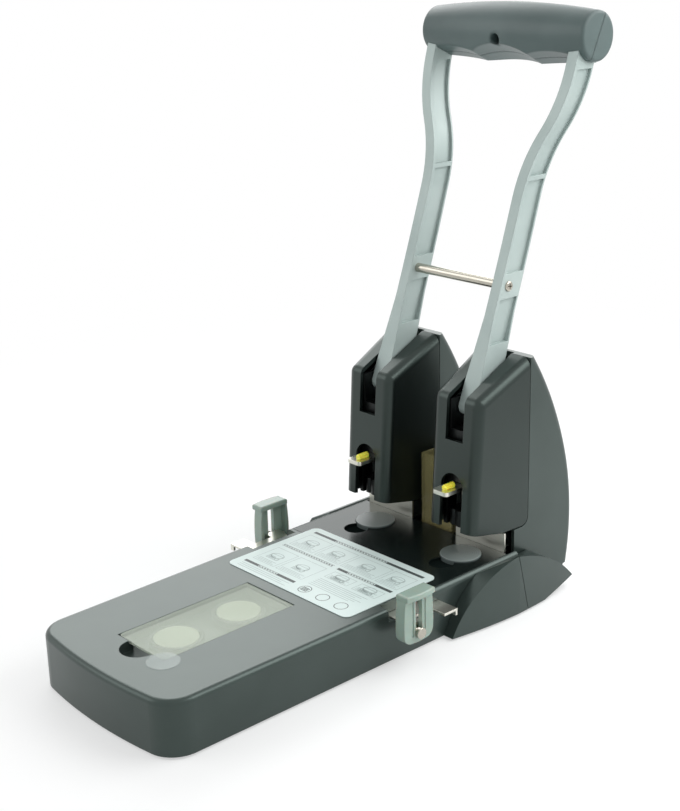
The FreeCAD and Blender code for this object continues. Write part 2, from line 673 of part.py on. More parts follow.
def make_casing(name, x):
    """The front casing of one head: drafted sides, sloping top, open back."""
    body = new_body(f"head_casing_{name}", x)
    toe, brow, upper, peak = head_side("0")
    back = "Dims.seam_y"
    half = "Dims.head_rear_half"
    pad(body, "YZ", f"-{half}", half, lambda s: outline(s, [
        (toe, "Dims.head_lower"), ("Dims.paper_margin", HEAD_UNDER),
        (f"{back} - Dims.heel_radius", HEAD_UNDER, f"Dims.heel_radius * {ROUND_RISE}"),
        (back, f"{HEAD_UNDER} + Dims.heel_radius"), (back, peak), (brow, upper)]))
    front_half = "Dims.head_front_half"
    for side in ("-", ""):
        far = f"{side}({half} + 1)"
        corners = [(f"{side}{front_half}", f"{toe} - 1"), (far, f"{toe} - 1"), (far, back),
                   (f"{side}{half}", back)]
        pocket(body, "XY", "0", f"{peak} + 5", lambda s: outline(s, corners))
    round_edges(body, "Dims.head_round",
                lambda m, a: (m.y < -size("Dims.head_brow") + 2.5 and abs(m.x) > size(front_half) - 3
                              and abs(a.x) < 0.3 and m.z > size("Dims.head_lower") + 5 and abs(a.z) > 0.9)
                or (near(abs(m.x), (size(front_half) + size(half)) / 2, 1.5) and m.z > size(upper) - 1
                    and a.z * a.z > 0.05)
                or (abs(m.x) < 0.5 and near(m.z, size(upper), 0.1)))
    toe_in, brow_in, upper_in, peak_in = head_side("Dims.head_wall")
    inner = "(Dims.head_front_half - Dims.head_wall)"
    pocket(body, "YZ", f"-{inner}", inner, lambda s: outline(s, [
        (toe_in, "Dims.head_lower - 6"), (f"{back} + 1", "Dims.head_lower - 6"),
        (f"{back} + 1", f"{peak} - Dims.head_wall"), (brow_in, upper_in)]))
    slot = "Dims.slot_width / 2"
    pocket(body, "XZ", f"{toe} - 1", f"{back} + 1", lambda s: rectangle(
        s, f"-{slot}", slot, SLOT_BOTTOM, f"{peak} + 1"))
    arch = "Dims.arch_width / 2"
    pocket(body, "XZ", f"{toe} - 1", f"{toe} + 8", lambda s: outline(s, [
        (f"-{arch}", "Dims.head_lower - 8"), (arch, "Dims.head_lower - 8"),
        (arch, f"{ARCH_TOP} - {arch}", f"{arch} * 0.999"), (f"-{arch}", f"{ARCH_TOP} - {arch}")]))
    add_ribs(body, inner, "Dims.pivot_y", (GUIDE_TOP, RIBS_TOP))


def make_rear_shell(name, x):
    """The cover behind one head: flush with the casing, swept down at the back."""
    body = new_body(f"rear_shell_{name}", x)
    front = "(Dims.seam_y + Dims.seam_gap)"
    half = "Dims.head_rear_half"
    toe = "Dims.shell_toe"
    under = f"({HEAD_UNDER} - Dims.seam_gap)"
    heel = "(Dims.heel_radius + Dims.seam_gap)"

    back = "Dims.shell_back"
    bend = f"({back} - Dims.shell_lean)"
    top_back = f"({front} + Dims.shell_crown)"
    rise = (f"({HEAD_PEAK} - Dims.shell_waist)", "(Dims.shell_waist - Dims.shell_bottom)")
    upper_chord = f"sqrt(({bend} - {top_back})^2 + {rise[0]}^2)"
    lower_chord = f"sqrt(Dims.shell_lean^2 + {rise[1]}^2)"
    bend_angle = f"(atan(({bend} - {top_back}) / {rise[0]}) - atan(Dims.shell_lean / {rise[1]}))"
    smooth = f"(({bend_angle} - 2 * atan(2 * Dims.shell_bulge / {upper_chord})) / 2)"
    pad(body, "YZ", f"-{half}", half, lambda s: outline(s, [
        (front, HEAD_PEAK), (front, f"{HEAD_UNDER} + Dims.heel_radius", f"-{heel} * {ROUND_RISE}"),
        (f"{front} - {heel}", under), (toe, under), (toe, "Dims.shell_bottom"),
        (back, "Dims.shell_bottom", f"{lower_chord} / 2 * tan({smooth})"),
        (bend, "Dims.shell_waist", "Dims.shell_bulge"), (top_back, HEAD_PEAK)]))
    round_edges(body, "Dims.shell_round", lambda m, a: m.y > size(front) + 6 and abs(a.x) < 0.2 and m.z > 30
                and near(abs(m.x), size(half)))
    wall = WALL
    inner = f"({half} - {wall})"
    pocket(body, "YZ", f"-{inner}", inner, lambda s: outline(s, [
        (f"{toe} - 1", "Dims.shell_bottom - 1"), (f"{toe} - 1", f"{HEAD_UNDER} + 4"),
        (f"{front} - 8", f"{HEAD_UNDER} + 4"), (f"{front} - 8", f"{HEAD_PEAK} - {wall}"),
        (f"{front} + 1", f"{HEAD_PEAK} - {wall}"),
        (f"{bend} - 6", "Dims.shell_waist"), (f"{back} - 5", "Dims.shell_bottom - 1")]))
    slot = "Dims.slot_width / 2"
    pocket(body, "XY", f"{HEAD_PEAK} - {wall} - 1", f"{HEAD_PEAK} + 1", lambda s: rectangle(
        s, f"-{slot}", slot, f"{front} - 1", f"{front} + 2.6"))
    add_ribs(body, inner, f"({front} + 5)", (GUIDE_TOP, RIBS_TOP))


def frame_corners(front):
    return [("Dims.paper_margin + Dims.stop_thick + 0.3", BED_UNDER), ("Dims.frame_back", BED_UNDER),
            ("Dims.frame_back", "Dims.pivot_height - 24"), ("Dims.pivot_y + 16", "Dims.pivot_height + 16"),
            ("Dims.pivot_y - 6", "Dims.pivot_height + 16"), (front, "Dims.pivot_height + 6"),
            (front, GUIDE_FOOT), ("Dims.paper_margin + Dims.stop_thick + 0.3", GUIDE_FOOT)]


def make_frame(name, x):
    """The steel C-frame of one head: two cheeks joined by a back web."""
    body = new_body(f"frame_{name}", x)
    inner = "Dims.frame_gap / 2"
    outer = f"({inner} + Dims.frame_thick)"
    front = "-Dims.frame_front"
    pad(body, "YZ", f"-{outer}", outer, lambda s: outline(s, frame_corners(front)))
    hollow(body, f"-{inner}", inner, "-Dims.frame_front - 1", "Dims.frame_back - Dims.frame_thick",
           f"{BED_UNDER}", "Dims.pivot_height + 30")
    bore(body, "YZ", f"-{outer}", outer, "Dims.pivot_y", "Dims.pivot_height",
         "Dims.shaft_radius + Dims.fit_gap")

    shaft = new_body(f"pivot_shaft_{name}", x)
    end = f"({outer} + 1)"
    rod(shaft, "YZ", f"-{end}", end, "Dims.pivot_y", "Dims.pivot_height", "Dims.shaft_radius")
    rod(shaft, "YZ", end, f"{end} + 1.4", "Dims.pivot_y", "Dims.pivot_height", "Dims.shaft_radius + 1.2")
    rod(shaft, "YZ", f"-{end} - 1.4", f"-{end}", "Dims.pivot_y", "Dims.pivot_height",
        "Dims.shaft_radius + 1.2")

    guide = new_body(f"pin_guide_{name}", x)
    block(guide, f"-{inner}", inner, "0", "Dims.ram_back", GUIDE_FOOT, GUIDE_TOP)
    rod(guide, "XY", GUIDE_FOOT, GUIDE_TOP, "0", "0", "Dims.sleeve_radius")
    for side in ("-", ""):
        rod(guide, "XY", GUIDE_FOOT, GUIDE_TOP, f"{side}6.4", "-2.4", "3.4")
    bore(guide, "XY", GUIDE_FOOT, GUIDE_TOP, "0", "0",
         "Dims.pin_diameter / 2 + Dims.fit_gap")


def make_ram(name, x):
    """The ram: a block with two forked cheeks that the drive pin pushes."""
    body = new_body(f"ram_{name}", x)
    half = "Dims.ram_half"
    deep = "Dims.ram_back"
    fore = "-Dims.ram_front"
    low = RAM_BOTTOM
    top = f"({RAM_BOTTOM} + Dims.ram_block)"
    block(body, f"-{half}", half, fore, deep, low, top)
    crown = f"({CRANK_Z} + Dims.drive_radius + 0.5 + 3)"
    inner = f"({half} - Dims.ram_cheek)"
    for side in ("-", ""):
        edges = sorted([f"{side}{half}", f"{side}{inner}"], key=size)
        block(body, edges[0], edges[1], fore, deep, top, crown)
    fork = "(Dims.drive_radius + 0.5)"
    pivot_near = "(Dims.pivot_y - Dims.crank_radius)"
    pocket(body, "YZ", f"-{half}", half, lambda s: outline(s, [
        (f"{deep} + 1", f"{CRANK_Z} - {fork}"), (f"{deep} + 1", f"{CRANK_Z} + {fork}"),
        (pivot_near, f"{CRANK_Z} + {fork}", f"{fork} * 0.999"), (pivot_near, f"{CRANK_Z} - {fork}")]))
    bore(body, "XY", low, f"{low} + 14", "0", "0", "Dims.pin_diameter / 2")
    rail = "(Dims.tab_width / 2 + 0.3)"
    for side in ("-", ""):
        edges = sorted([f"{side}{half}", f"{side}{rail}"], key=size)
        block(body, edges[0], edges[1], fore, deep, LIP_FOOT, low)

    pin = new_body(f"punch_pin_{name}", x)
    radius = "Dims.pin_diameter / 2"
    rod(pin, "XY", PIN_TIP, f"{low} + 14", "0", "0", radius)
    bore(pin, "XY", PIN_TIP, f"{low} + 12", "0", "0", f"{radius} - Dims.pin_wall")

    tab = new_body(f"release_tab_{name}", x)
    reach = "Dims.tab_reach"
    wide = "Dims.tab_width / 2"
    plate_top = f"({low} - {GAP})"
    block(tab, f"-{wide}", wide, f"-{reach}", deep, f"{plate_top} - Dims.tab_thick", plate_top)
    front = -size(reach)
    round_edges(tab, "2.5", lambda m, a: upright(a) and near(m.y, front))
    slot = f"({radius} + {GAP})"
    hollow(tab, f"-{slot}", slot, f"-{slot}", f"{deep} + 1", f"{plate_top} - Dims.tab_thick", plate_top)

    latch = new_body(f"latch_{name}", x)
    latch_y = f"(-{reach} + 3)"
    rod(latch, "XZ", latch_y, f"{latch_y} + Dims.latch_length", "1.2",
        f"{plate_top} + Dims.latch_radius - 0.6", "Dims.latch_radius")
    hollow(latch, "-10", "10", f"{latch_y} - 1", f"{latch_y} + Dims.latch_length + 1",
           f"{plate_top} - 4", plate_top)
    round_edges(latch, "1.2", lambda m, a: near(m.y, size(latch_y)) and m.z > size(plate_top) + 0.5)


# ------------------------------------------------------------------- the lever
LEAN = "tan(Dims.arm_lean * 1deg)"
NOSE = "(Dims.drive_radius + 2.8)"
NOSE_Y = f"({CRANK_Y} - {NOSE} * cos(Dims.arm_lean * 1deg))"
NOSE_Z = f"({CRANK_Z} + {NOSE} * sin(Dims.arm_lean * 1deg))"
ARM_TOP = "Dims.grip_height"
SPLAY_END = f"({ARM_TOP} - Dims.splay_drop)"
SPLAY_START = f"({SPLAY_END} - Dims.splay_length)"
SPLAY_MIDDLE = f"(({SPLAY_START} + {SPLAY_END}) / 2)"
SPLAY_CHORD = "(Dims.arm_splay^2 + Dims.splay_length^2)"
SPLAY_RADIUS = f"({SPLAY_CHORD} / Dims.arm_splay / 4)"
SPLAY_RISE = f"({SPLAY_RADIUS} - sqrt({SPLAY_RADIUS}^2 - {SPLAY_CHORD} / 16))"


def mirrored(corners, side):
    """The corners of an outline, turned over left to right on the left side."""
    if side == "":
        return corners
    return [(f"-({corner[0]})", corner[1]) + tuple(f"-({rise})" for rise in corner[2:])
            for corner in corners]


def share(height):
    """How far up the arm a height lies, from 0 at the nose to 1 at the top."""
    return f"(({height} - {NOSE_Z}) / ({ARM_TOP} - {NOSE_Z}))"


def front_y(height):
    """The arm's bowed front face at a height above the table."""
    bow = f"4 * Dims.arm_bow * {share(height)} * (1 - {share(height)})"
    return f"({NOSE_Y} + ({height} - {NOSE_Z}) * {LEAN} + {bow})"


def bow_rise(low, high):
    """How far the arm's face stands off the chord between two heights."""
    return f"(Dims.arm_bow * ({share(high)} - {share(low)})^2)"


BAR_Y = f"({front_y('Dims.bar_height')} + Dims.bar_inset)"


def rear_y(height):
    depth = (f"(Dims.arm_depth - (Dims.arm_depth - Dims.arm_top_depth) * {share(height)})"
             f" / cos(Dims.arm_lean * 1deg)")
    return f"({front_y(height)} + {depth})"


def strip(label, side, low_half, high_half, low, high):
    """The arm as seen from the front, as thick as the whole lever is deep."""
    splay = "Dims.arm_splay"
    start, middle, end = SPLAY_START, SPLAY_MIDDLE, SPLAY_END
    taper = "Dims.taper_end"
    step = f"({splay} / 2)"
    corners = [
        (f"-{low_half}", low), (low_half, low), (low_half, "Dims.pivot_height + 24"), (high_half, taper),
        (high_half, start, f"-{SPLAY_RISE}"), (f"{step} + {high_half}", middle, SPLAY_RISE),
        (f"{splay} + {high_half}", end), (f"{splay} + {high_half}", high),
        (f"{splay} - {high_half}", high), (f"{splay} - {high_half}", end, f"-{SPLAY_RISE}"),
        (f"{step} - {high_half}", middle, SPLAY_RISE), (f"-{high_half}", start),
        (f"-{high_half}", taper), (f"-{low_half}", "Dims.pivot_height + 24")]
    body = doc.addObject("PartDesign::Body", label)
    pad(body, "XZ", "-40", "Dims.grip_y + 40", lambda s: outline(s, mirrored(corners, side)))
    return body


def side_slab(label, corners, reach):
    body = doc.addObject("PartDesign::Body", label)
    pad(body, "YZ", f"-{reach}", reach, lambda s: outline(s, corners))
    return body


def recess(label, low, high, reach):
    """One sunk panel of an arm, between its front and rear rims."""
    rim = "Dims.arm_rim"
    rear_rim = "Dims.arm_rear_rim"
    rise = bow_rise(low, high)
    return side_slab(label, [
        (f"{front_y(low)} + {rim}", low), (f"{rear_y(low)} - {rear_rim}", low, rise),
        (f"{rear_y(high)} - {rear_rim}", high), (f"{front_y(high)} + {rim}", high, f"-{rise}")], reach)


def joined(kind, label, shapes):
    """A Part boolean of some shapes, as one object."""
    result = doc.addObject("Part::" + kind, label)
    if kind == "Cut":
        result.Base, result.Tool = shapes
    else:
        result.Shapes = shapes
    return result


def make_barrel(label):
    """The grip's outer form: a barrel about X, in the grip's own tilted frame."""
    body = doc.addObject("PartDesign::Body", label)
    half = "Dims.grip_half"
    end = "Dims.grip_end_radius"
    sketch = new_sketch(body, "XZ")
    outline(sketch, [(f"-{half}", "0"), (half, "0"), (half, end, "Dims.grip_mid_radius - Dims.grip_end_radius"),
                     (f"-{half}", end)])
    turn = body.newObject("PartDesign::Revolution", label + "_turn")
    turn.Profile = sketch
    turn.ReferenceAxis = (sketch, ["H_Axis"])
    turn.Angle = 360
    doc.recompute()
    face = size(half)
    round_edges(body, "1.5", lambda m, a: near(abs(m.x), face) and math.hypot(m.y, m.z) > 5)
    peak = "(Dims.grip_end_radius + 1.4)"
    mid = "Dims.grip_ridge"
    far = f"({half} * 0.88)"
    pocket(body, "XZ", "-40", "40", lambda s: outline(s, [
        (f"-{far}", "-40"), (far, "-40"), (far, f"-{end}", "Dims.grip_end_groove"),
        (mid, f"-{peak}", "Dims.grip_mid_groove"), (f"-{mid}", f"-{peak}", "Dims.grip_end_groove"),
        (f"-{far}", f"-{end}")]))
    place_grip(body)
    return body


def place_grip(body):
    turn = Rotation(Vector(1, 0, 0), -size("Dims.grip_tilt"))
    body.Placement = Placement(Vector(0, 0, 0), turn)
    body.setExpression("Placement.Base.y", "Dims.grip_y")
    body.setExpression("Placement.Base.z", "Dims.grip_height")


def make_box(label, x, y, z, length, width, height):
    box = doc.addObject("Part::Box", label)
    for name, expression in (("Length", length), ("Width", width), ("Height", height),
                             ("Placement.Base.x", x), ("Placement.Base.y", y), ("Placement.Base.z", z)):
        box.setExpression(name, expression)
    return box


def make_cylinder(label, x, y, z, radius, height, turn=None):
    """A Part cylinder from a point, along Z or, turned, along X."""
    cylinder = doc.addObject("Part::Cylinder", label)
    if turn is not None:
        cylinder.Placement = Placement(Vector(0, 0, 0), turn)
    for name, expression in (("Radius", radius), ("Height", height), ("Placement.Base.x", x),
                             ("Placement.Base.y", y), ("Placement.Base.z", z)):
        cylinder.setExpression(name, expression)
    return cylinder


ALONG_X = Rotation(Vector(0, 1, 0), 90)


def tenon(label, x, gap):
    wide = f"(Dims.arm_width / 2 + {gap})"
    return make_box(label, f"{x} - {wide}", f"Dims.grip_y - 4 - {gap}",
                    f"Dims.grip_height - Dims.grip_end_radius - 1", f"2 * {wide}", f"8 + 2 * {gap}",
                    f"Dims.grip_end_radius + 4 + {gap}")


def make_arm(name, side, barrel):
    """One cast arm: an I-section bar, forked to its hub and drive pin below
    and cut to a saddle for the grip above."""
    x = f"({side}{PIN_X})"
    low_half = "Dims.arm_low_width / 2"
    high_half = "Dims.arm_width / 2"
    reach = "(Dims.arm_splay + 12)"
    floor = "Dims.pivot_height - 20"
    shoulder = "(Dims.pivot_height + 20)"
    slab = side_slab(f"arm_side_{name}", [
        (NOSE_Y, NOSE_Z), ("Dims.pivot_y + 3", "Dims.pivot_height - 1"),
        (rear_y(shoulder), shoulder, bow_rise(shoulder, ARM_TOP)),
        (rear_y(ARM_TOP), ARM_TOP), (front_y(ARM_TOP), ARM_TOP, "-Dims.arm_bow")], reach)
    full = strip(f"arm_front_{name}", side, low_half, high_half, floor, f"{ARM_TOP} + 5")
    blank = joined("MultiCommon", f"arm_blank_{name}", [slab, full])
    hub = make_cylinder(f"arm_hub_{name}", f"-{low_half}", "Dims.pivot_y", "Dims.pivot_height",
                        "Dims.hub_radius", "Dims.arm_low_width", ALONG_X)
    nose = make_cylinder(f"arm_nose_{name}", f"-{low_half}", CRANK_Y, CRANK_Z, NOSE,
                         "Dims.arm_low_width", ALONG_X)
    solid = joined("MultiFuse", f"arm_solid_{name}", [blank, hub, nose])
    web = strip(f"arm_web_{name}", side, "Dims.arm_web / 2", "Dims.arm_web / 2", floor, f"{ARM_TOP} + 5")
    rib_middle = f"{ARM_TOP} - Dims.rib_drop"
    rib = f"({rib_middle} - Dims.rib_thick / 2)", f"({rib_middle} + Dims.rib_thick / 2)"
    panels = joined("MultiFuse", f"arm_panels_{name}", [
        recess(f"panel_low_{name}", "(Dims.taper_end - 18)", "(Dims.bar_height - 8)", reach),
        recess(f"panel_mid_{name}", "(Dims.bar_height + 8)", rib[0], reach),
        recess(f"panel_high_{name}", rib[1], "(Dims.grip_height - Dims.grip_mid_radius)", reach)])
    sunk = joined("Cut", f"arm_sunk_{name}", (panels, web))
    carved = joined("Cut", f"arm_carved_{name}", (solid, sunk))
    holes = joined("MultiFuse", f"arm_holes_{name}", [
        make_cylinder(f"arm_bore_{name}", "-Dims.arm_low_width", "Dims.pivot_y", "Dims.pivot_height",
                      "Dims.shaft_radius + Dims.fit_gap", "2 * Dims.arm_low_width", ALONG_X),
        make_cylinder(f"arm_drive_{name}", "-Dims.arm_low_width", CRANK_Y, CRANK_Z, "Dims.drive_radius",
                      "2 * Dims.arm_low_width", ALONG_X),
        make_cylinder(f"arm_screw_{name}", "-Dims.arm_low_width", BAR_Y, "Dims.bar_height", "2",
                      "2 * Dims.arm_low_width", ALONG_X)])
    drilled = joined("Cut", f"arm_drilled_{name}", (carved, holes))
    drilled.setExpression("Placement.Base.x", x)
    seated = joined("Cut", f"arm_seated_{name}", (drilled, barrel))
    grip_x = f"({side}({PIN_X} + Dims.arm_splay))"
    arm = joined("MultiFuse", f"arm_{name}", [seated, tenon(f"tenon_{name}", grip_x, "0")])
    arm.Label = f"arm_{name}"
    nodes.append(arm)

    pin = new_body(f"drive_pin_{name}", x)
    rod(pin, "YZ", "-Dims.ram_half", "Dims.ram_half", CRANK_Y, CRANK_Z, "Dims.drive_radius")


def make_grip():
    """Two moulded halves that close round the arms' tenons."""
    sockets = [tenon(f"socket_{name}", f"({side}({PIN_X} + Dims.arm_splay))", "0.2")
               for name, side in (("left", "-"), ("right", ""))]
    for name, sign in (("front", -1), ("rear", 1)):
        barrel = make_barrel(f"grip_barrel_{name}")
        keep = doc.addObject("Part::Box", f"grip_side_{name}")
        keep.Length = 2 * size("Dims.grip_half") + 20
        keep.Width = 40
        keep.Height = 100
        half_split = size("Dims.grip_split / 2")
        start_y = half_split if sign > 0 else -40.0 - half_split
        corner = Vector(-keep.Length.Value / 2, start_y, -50.0)
        turn = Rotation(Vector(1, 0, 0), -size("Dims.grip_tilt"))
        keep.Placement = Placement(turn.multVec(corner), turn)
        keep.setExpression("Placement.Base.y", f"Dims.grip_y + {turn.multVec(corner).y}")
        keep.setExpression("Placement.Base.z", f"Dims.grip_height + {turn.multVec(corner).z}")
        half = joined("MultiCommon", f"grip_half_{name}", [barrel, keep])
        cutters = list(sockets)
        drop = size("Dims.hole_drop")
        screw_turn = Rotation(Vector(1, 0, 0), drop - 90 if sign > 0 else drop + 90)
        screw = doc.addObject("Part::Cylinder", f"grip_hole_{name}")
        screw.Radius = size("Dims.grip_hole_radius") if name == "front" else 1.2
        screw.Height = 40 if name == "front" else 8
        start = screw_turn.multVec(Vector(0, 0, 3.0 if name == "front" else 0.0))
        screw.Placement = Placement(start, screw_turn)
        screw.setExpression("Placement.Base.y", f"Dims.grip_y + {start.y}")
        screw.setExpression("Placement.Base.z", f"Dims.grip_height + {start.z}")
        cutters.append(screw)
        cutter = joined("MultiFuse", f"grip_cutters_{name}", cutters)
        piece = joined("Cut", f"grip_{name}", (half, cutter))
        piece.Label = f"grip_{name}"
        nodes.append(piece)


def make_crossbar():
    bar = new_body("crossbar")
    end = f"({PIN_X} - Dims.arm_web / 2)"
    face = f"({PIN_X} - Dims.arm_width / 2)"
    rod(bar, "YZ", f"-{face}", face, BAR_Y, "Dims.bar_height", "Dims.bar_radius")
    screws = new_body("crossbar_screws")
    screws.AllowCompound = True
    outer = f"({PIN_X} + Dims.arm_width / 2)"
    for low, high, cap in ((face, outer, f"{outer} + 1.4"), (f"-{outer}", f"-{face}", f"-{outer} - 1.4")):
        rod(screws, "YZ", low, high, BAR_Y, "Dims.bar_height", "2")
        head = sorted([cap, outer if size(low) > 0 else f"-{outer}"], key=size)
        rod(screws, "YZ", head[0], head[1], BAR_Y, "Dims.bar_height", "3.4")


# ------------------------------------------------------- fairings and covers
def fairing_plan(sketch, side):
    """What lies outside the fairings' bulging plan."""
    out = "Dims.fairing_reach + 5"
    front = "-Dims.fairing_front - 2"
    rear = "Dims.fairing_rear + 2"
    outline(sketch, mirrored([
        ("Dims.fairing_nose_reach", front, "1.2"), ("Dims.fairing_reach", "Dims.fairing_crest", "0.8"),
        ("Dims.fairing_tail_reach", rear), (out, rear), (out, front)], side))


CREST_SLOPE = f"(Dims.crest_drop / (Dims.fairing_reach - {BASE_HALF}))"
CREST_INNER = f"({PIN_X} + Dims.head_rear_half)"


def slope_crest(body, side):
    """Slopes the crest of a fairing or ear down towards the base."""
    inner = CREST_INNER
    outer = "(Dims.fairing_reach + 1)"
    top = "(Dims.fairing_top + 0.4)"
    low = f"({top} - (Dims.fairing_reach - {inner}) * {CREST_SLOPE})"
    pocket(body, "XZ", "-Dims.fairing_front - 1", "Dims.fairing_rear + 1", lambda s: outline(s, mirrored([
        (inner, low), (outer, f"{top} + {CREST_SLOPE}"), (outer, f"{top} + 9"), (inner, f"{top} + 9")], side)))


def lower_left(body):
    """Keeps the left fairing and ear below the base's top, sloping outwards."""
    inner = f"-({PIN_X} + Dims.head_rear_half)"
    edge = "-Dims.fairing_reach"
    above = "(Dims.fairing_top + 9)"
    pocket(body, "XZ", "-Dims.fairing_front - 1", "Dims.fairing_rear + 1", lambda s: outline(s, [
        (f"{edge} - 1", above), (f"{edge} - 1", f"{BED} - Dims.left_drop"), (f"-{BASE_HALF}", BED),
        (inner, BED), (inner, above)]))


def make_fairing(name, side):
    body = new_body(f"side_fairing_{name}")
    inner = f"({BASE_HALF} + {GAP})"
    edges = sorted([f"{side}{inner}", f"{side}Dims.fairing_reach"], key=size)
    pad(body, "YZ", edges[0], edges[1], lambda s: outline(s, [
        ("-Dims.fairing_front", RIM), (f"Dims.seam_foot_y - Dims.seam_gap / 2", RIM),
        (f"Dims.seam_top_y - Dims.seam_gap / 2", "Dims.fairing_top", "9.5")]))
    pocket(body, "XY", "0", "Dims.fairing_top + 5", lambda s: fairing_plan(s, side))
    slope_crest(body, side)
    if side == "-":
        lower_left(body)


def make_rear_cover():
    """The rear foot: an upright rim round the back, with an ear each side."""
    body = new_body("rear_cover")
    reach = "Dims.fairing_reach"
    seam_top = "(Dims.seam_top_y + Dims.seam_gap / 2)"
    seam_foot = "(Dims.seam_foot_y + Dims.seam_gap / 2)"
    pad(body, "YZ", f"-{reach}", reach, lambda s: outline(s, [
        (seam_foot, RIM), ("Dims.fairing_rear - Dims.fairing_lift", RIM),
        ("Dims.fairing_rear", "Dims.fairing_tip", "Dims.tail_rise"),
        (seam_top, "Dims.fairing_top")]))
    for side in ("-", ""):
        pocket(body, "XY", "0", "Dims.fairing_top + 5", lambda s: fairing_plan(s, side))
    outer = f"({PIN_X} + Dims.head_rear_half + Dims.seam_gap)"
    hollow(body, f"-{outer}", outer, "0", "Dims.fairing_rear + 5", "0", "Dims.fairing_top + 5")
    base_side = f"({BASE_HALF} + {GAP})"
    for side in ("-", ""):
        edges = sorted([f"{side}{outer}", f"{side}{base_side}"], key=size)
        hollow(body, edges[0], edges[1], "0", f"Dims.base_rear + {GAP}", "0", "Dims.fairing_top + 5")
    top = f"(Dims.shell_bottom - {GAP})"
    back = "Dims.cover_back"
    block(body, f"-{outer} - 0.5", f"{outer} + 0.5", f"{back} - {WALL}", back, RIM, top)
    for side in ("-", ""):
        edges = sorted([f"{side}({outer} - {WALL})", f"{side}({outer} + 0.5)"], key=size)
        block(body, edges[0], edges[1], f"Dims.base_rear + {GAP}", back, RIM, top)
    block(body, f"-{outer} - 0.5", f"{outer} + 0.5", f"Dims.base_rear + {GAP}", back, RIM,
          f"{RIM} + Dims.bottom_thick")
    corner = size(f"{outer} + 0.5")
    round_edges(body, "Dims.cover_round", lambda m, a: upright(a) and near(abs(m.x), corner) and near(m.y, size(back)))
    for side in ("-", ""):
        slope_crest(body, side)
    lower_left(body)


def make_centre():
    """The low cover between the two rear shells and the clear box on it."""
    half = f"({PIN_X} - Dims.head_rear_half - {GAP})"
    cover = new_body("centre_cover")
    front = f"(Dims.base_rear + {GAP})"
    low = f"(Dims.shell_bottom - {GAP})"
    block(cover, f"-{half}", half, front, "Dims.cover_back", low, "Dims.shelf_rise")
    hollow(cover, f"-{half} + {WALL}", f"{half} - {WALL}", f"{front} + {WALL}",
           f"Dims.cover_back - {WALL}", low, f"Dims.shelf_rise - {WALL}")
    back = size("Dims.cover_back")
    round_edges(cover, "2", lambda m, a: near(m.z, size("Dims.shelf_rise")) and near(m.y, back))

    box = new_body("clear_box")
    wide = "Dims.box_width / 2"
    low = f"({BED_UNDER} + {GAP})"
    rear = "(Dims.box_front + Dims.box_depth)"
    block(box, f"-{wide}", wide, "Dims.box_front", rear, low, "Dims.box_top")
    wall = "Dims.box_wall"
    hollow(box, f"-{wide} + {wall}", f"{wide} - {wall}", f"Dims.box_front + {wall}", f"{rear} - {wall}",
           f"{low} + {wall}", "Dims.box_top")


def make_spacers(name, x):
    body = new_body(f"shaft_spacers_{name}", x)
    body.AllowCompound = True
    near_face = "(Dims.arm_low_width / 2 + 0.2)"
    far_face = "Dims.frame_gap / 2"
    for low, high in ((near_face, far_face), (f"-{far_face}", f"-{near_face}")):
        rod(body, "YZ", low, high, "Dims.pivot_y", "Dims.pivot_height", "Dims.spacer_radius")
    for low, high in ((near_face, far_face), (f"-{far_face}", f"-{near_face}")):
        bore(body, "YZ", low, high, "Dims.pivot_y", "Dims.pivot_height", "Dims.shaft_radius")


# --------------------------------------------------------------- build and save
make_base_shell()
make_bottom_plate()
make_feet()
make_bed()
make_discs()
make_lid()
make_label()
make_stop()
for side_name in ("left", "right"):
    make_guide(side_name)
for side_name, side_sign in (("left", "-"), ("right", "")):
    tower_x = f"{side_sign}{PIN_X}"
    make_casing(side_name, tower_x)
    make_rear_shell(side_name, tower_x)
    make_frame(side_name, tower_x)
    make_spacers(side_name, tower_x)
    make_ram(side_name, tower_x)
    make_fairing(side_name, side_sign)
saddle = make_barrel("saddle_form")
for side_name, side_sign in (("left", "-"), ("right", "")):
    make_arm(side_name, side_sign, saddle)
make_grip()
make_crossbar()
make_rear_cover()
make_centre()
doc.recompute()

for item in doc.Objects:
    if "Invalid" in item.State or "Error" in item.State:
        raise ValueError(f"{item.Label} failed: {item.State}")
os.makedirs("parts", exist_ok=True)
for node in nodes:
    if node.Shape.isNull() or not node.Shape.isValid():
        raise ValueError(node.Label + " has no valid shape")
    node.Shape.exportStep(f"parts/{node.Label}.step")
    box = node.Shape.BoundBox
    print(f"{node.Label:22s} solids {len(node.Shape.Solids)} volume {node.Shape.Volume / 1000:8.2f} cm3"
          f"  x {box.XMin:7.1f} {box.XMax:7.1f}  y {box.YMin:7.1f} {box.YMax:7.1f}"
          f"  z {box.ZMin:6.1f} {box.ZMax:6.1f}")
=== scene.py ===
import json
import math
import bmesh
import bpy
from mathutils import Matrix, Vector


